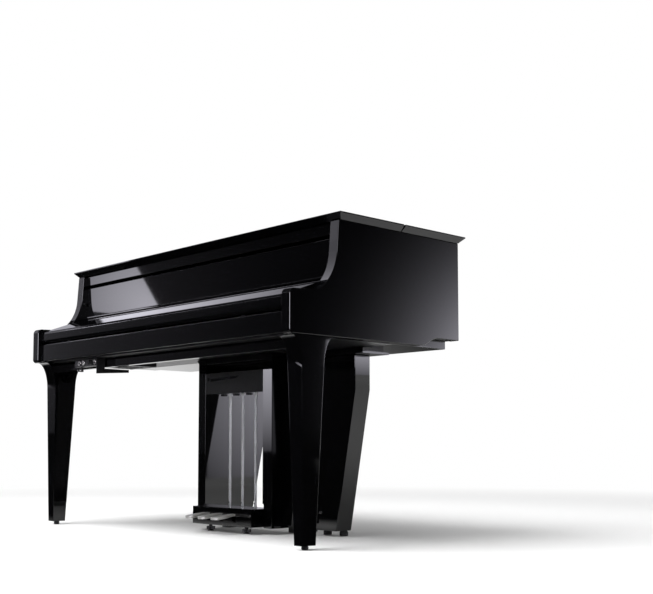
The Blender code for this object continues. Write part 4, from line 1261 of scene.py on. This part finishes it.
# The front edge of the lyre's right board, and the inner faces of the lyre
LYRE_CARD = ((-7.0, 0.25), (-6.1, 0.25), (-6.1, 1.45), (-7.0, 1.45))
REAR_CARD = ((3.82, 0.0), (5.2, 0.0), (5.2, 1.2), (3.82, 1.2))


@dataclass
class Studio:
    """A white seamless floor, two soft lamps, and the dim walls and cards that the polish mirrors."""

    paper: str = "#f4f4f4"
    floor_size: float = 120.0
    ambient: float = 0.38
    lift: float = 0.03
    fade: tuple[float, float] = (1.9, 4.5)
    wall_radius: float = 60.0
    wall_light: float = 0.012
    dim_floor_height: float = 0.002
    dim_floor_glows: int = 2
    glows: tuple[Glow, ...] = (
        Glow(152.0, 2.0, 15.0, 1.0),
        Glow(56.5, 2.6, 6.0, 15.0),
        Glow(-150.0, 7.0, 8.0, 0.12),
        Glow(-168.0, 8.0, 8.0, 8.0),
        Glow(-110.0, 62.0, 20.0, 2.0),
        Glow(-47.0, 8.0, 9.0, 22.0),
    )
    flags: tuple[Flag, ...] = (
        Flag(-48.0, 0.40, 0.62),
        Flag(-90.0, 0.15, 0.50),
        Flag(35.0, 6.5, 8.0),
        Flag(118.0, 3.4, 5.4),
    )
    cards: tuple[Card, ...] = (
        Card("softbox", -5.0, SOFTBOX, (-3.35, 1.50), 5.2, 0.5, 1.05),
        Card("strip_light", -5.0, STRIP, (-2.9, 2.2), 11.0, 1.2, 2.6),
        Card("fill_left", -5.02, FILL_LEFT, (-2.3, 2.0), 0.85, 0.75, 2.0),
        Card("fill_right", -5.02, FILL_RIGHT, (-5.5, 2.9), 1.0, 1.5, 5.0),
        Card("lyre_card", -5.0, LYRE_CARD, (-6.5, 1.3), 7.5, 0.15, 1.15),
        Card("rear_card", 5.0, REAR_CARD, (4.6, 1.0), 4.6, 0.8, 1.3),
    )

    def build(self) -> None:
        """Makes the world, the floor, the lamps and what the polish mirrors."""
        self.world()
        self.floor()
        self.lamp("key_lamp", (-0.7, -2.2, 4.4), 262.0)
        self.lamp("top_lamp", (0.4, -0.6, 4.2), 60.0)
        self.walls()
        self.dim_floor()
        for card in self.cards:
            self.mirrored_only(card.name, card.shape(), card.material())

    def world(self) -> None:
        """A world that is white to the eye and in mirrors, and a plain ambient light elsewhere."""
        world = bpy.data.worlds.new("studio")
        bpy.context.scene.world = world
        world.use_nodes = True
        tree = world.node_tree
        tree.nodes.clear()
        ends = {"To Min": self.ambient, "To Max": 1.0}
        strength = add_node(tree, "MapRange", ends, {"Value": self.seen(tree)}).outputs["Result"]
        light = add_node(tree, "Background", {"Color": linear("#ffffff")}, {"Strength": strength})
        add_node(tree, "OutputWorld", {}, {"Surface": light.outputs[0]})

    def brightest(self, tree: Tree, shares: Sequence[Socket]) -> Socket:
        """Adds nodes that find the greatest of some values.

        Args:
            tree: The node tree.
            shares: The values.

        Returns:
            The greatest.
        """
        found = shares[0]
        for share in shares[1:]:
            found = add_node(tree, "Math", {"operation": "MAXIMUM"}, {0: found, 1: share}).outputs[0]
        return found

    def seen(self, tree: Tree) -> Socket:
        """Tells the rays that look at the background from those that light the object.

        Args:
            tree: The node tree of the floor or the world.

        Returns:
            A value of 1 for camera, mirror and glass rays, otherwise 0.
        """
        path = add_node(tree, "LightPath", {}, {}).outputs
        return self.brightest(tree, [path[f"Is {kind} Ray"] for kind in ("Camera", "Glossy", "Transmission")])

    def floor(self) -> None:
        """Lays the floor, which melts into the white world and keeps the shadows."""
        shape = bmesh.new()
        bmesh.ops.create_grid(shape, x_segments=1, y_segments=1, size=self.floor_size / 2)
        placed("floor", shape, self.floor_material())

    def floor_material(self) -> Look:
        """Returns matt white paper, which turns to plain white away from the object."""
        made, tree, place = blank("seamless_paper")
        paint = {"Base Color": linear(self.paper), "Roughness": 0.9, "Specular IOR Level": 0.0}
        paper = add_node(tree, "BsdfPrincipled", paint, {}).outputs["BSDF"]
        white = add_node(tree, "Emission", {"Strength": 1.0}, {}).outputs[0]
        seen = self.seen(tree)
        ends = {"To Min": 0.0, "To Max": self.lift}
        lift = add_node(tree, "MapRange", ends, {"Value": seen}).outputs["Result"]
        glow = add_node(tree, "Emission", {}, {"Strength": lift}).outputs[0]
        lifted = add_node(tree, "AddShader", {}, {0: paper, 1: glow}).outputs[0]
        away = add_node(tree, "VectorMath", {"operation": "LENGTH"}, {"Vector": place}).outputs["Value"]
        ends = {**SOFT, "From Min": self.fade[0], "From Max": self.fade[1]}
        far = add_node(tree, "MapRange", ends, {"Value": away}).outputs["Result"]
        share = add_node(tree, "Math", {"operation": "MULTIPLY"}, {0: far, 1: seen}).outputs[0]
        mixed = add_node(tree, "MixShader", {}, {"Fac": share, 1: lifted, 2: white})
        add_node(tree, "OutputMaterial", {}, {"Surface": mixed.outputs[0]})
        return made

    def lamp(self, name: str, place: Point, power: float, size: float = 3.2) -> None:
        """Hangs a soft lamp that points at the middle of the object.

        Args:
            name: The lamp's name.
            place: Where it hangs.
            power: Its watts.
            size: The side of its square.
        """
        data = bpy.data.lights.new(name, "AREA")
        data.shape = "SQUARE"
        data.size = size
        data.energy = power
        lamp = bpy.data.objects.new(name, data)
        lamp.location = place
        way = Vector((0.0, 0.0, 0.4)) - Vector(place)
        lamp.rotation_euler = way.to_track_quat("-Z", "Y").to_euler()
        lamp.visible_glossy = False
        bpy.context.scene.collection.objects.link(lamp)

    def mirrored_only(self, name: str, shape: Mesh, material: Look) -> None:
        """Adds a piece of the studio that mirror rays alone see.

        Args:
            name: The piece's name.
            shape: Its mesh, which is freed.
            material: What it is made of.
        """
        piece = placed(name, shape, material)
        for ray in ("camera", "diffuse", "transmission", "volume_scatter", "shadow"):
            setattr(piece, "visible_" + ray, False)

    def radiance(self, tree: Tree, place: Socket, glows: Sequence[Glow]) -> Socket:
        """Adds up the dim light of the walls and the soft patches on them.

        Args:
            tree: The node tree of the walls or the dim floor.
            place: The point on them.
            glows: The patches.

        Returns:
            The radiance there.
        """
        aim = add_node(tree, "VectorMath", {"operation": "NORMALIZE"}, {"Vector": place}).outputs["Vector"]
        values = {"operation": "ADD", 1: self.wall_light}
        feeds = {}
        for glow in glows:
            feeds[0] = glow.shine(tree, aim)
            feeds[1] = add_node(tree, "Math", values, feeds).outputs[0]
        return feeds[1]

    def walls(self) -> None:
        """The dim walls and ceiling, with a soft patch of light wherever a lamp bounces off them."""
        shape = bmesh.new()
        bmesh.ops.create_uvsphere(shape, u_segments=64, v_segments=32, radius=self.wall_radius)
        low = [v for v in shape.verts if v.co.z < -0.01]
        bmesh.ops.delete(shape, geom=low, context="VERTS")
        made, tree, place = blank("studio_walls")
        strength = self.radiance(tree, place, self.glows)
        light = add_node(tree, "Emission", {"Color": linear(COOL)}, {"Strength": strength})
        add_node(tree, "OutputMaterial", {}, {"Surface": light.outputs[0]})
        self.mirrored_only("studio_walls", shape, made)

    def dim_floor(self) -> None:
        """The floor as the polish mirrors it: dim where the flags keep the light off, else as it is."""
        shape = bmesh.new()
        bmesh.ops.create_grid(shape, x_segments=1, y_segments=1, size=self.wall_radius)
        bmesh.ops.translate(shape, vec=(0, 0, self.dim_floor_height), verts=shape.verts)
        made, tree, place = blank("dim_floor")
        dark = self.brightest(tree, [flag.dark(tree, place) for flag in self.flags])
        strength = self.radiance(tree, place, self.glows[: self.dim_floor_glows])
        dim = add_node(tree, "Emission", {}, {"Strength": strength}).outputs[0]
        clear = add_node(tree, "BsdfTransparent", {}, {}).outputs[0]
        mixed = add_node(tree, "MixShader", {}, {"Fac": dark, 1: clear, 2: dim})
        add_node(tree, "OutputMaterial", {}, {"Surface": mixed.outputs[0]})
        self.mirrored_only("studio_floor", shape, made)


@dataclass(frozen=True)
class CameraRig:
    """The camera at the photograph's viewpoint, low and to the treble side."""

    place: tuple[float, float, float] = (2.8986, -2.2764, 0.2841)
    yaw: float = 46.679
    pitch: float = 4.0
    lens: float = 58.12
    shift: float = 0.1185
    sensor: float = 36.0
    reach: float = 200.0

    def build(self) -> None:
        """Makes the camera and looks through it."""
        data = bpy.data.cameras.new("camera")
        data.sensor_width = self.sensor
        data.lens = self.lens
        data.shift_y = self.shift
        data.clip_end = self.reach
        camera = bpy.data.objects.new("camera", data)
        camera.location = self.place
        camera.rotation_euler = (math.radians(90 + self.pitch), 0.0, math.radians(self.yaw))
        bpy.context.scene.collection.objects.link(camera)
        bpy.context.scene.camera = camera


def main() -> None:
    """Builds the looks, the studio and the camera."""
    logging.basicConfig(level=logging.INFO, format="%(name)s %(message)s")
    bpy.context.scene.view_settings.view_transform = "Standard"
    CameraRig().build()
    for unit in (Casework(), Lid(), Fallboard(), Keyset(), Legs(), Lyre(), Controls(), Trim()):
        LOG.info("%s", type(unit).__name__)
        unit.build()
    Studio().build()


if __name__ == "__main__":
    main()
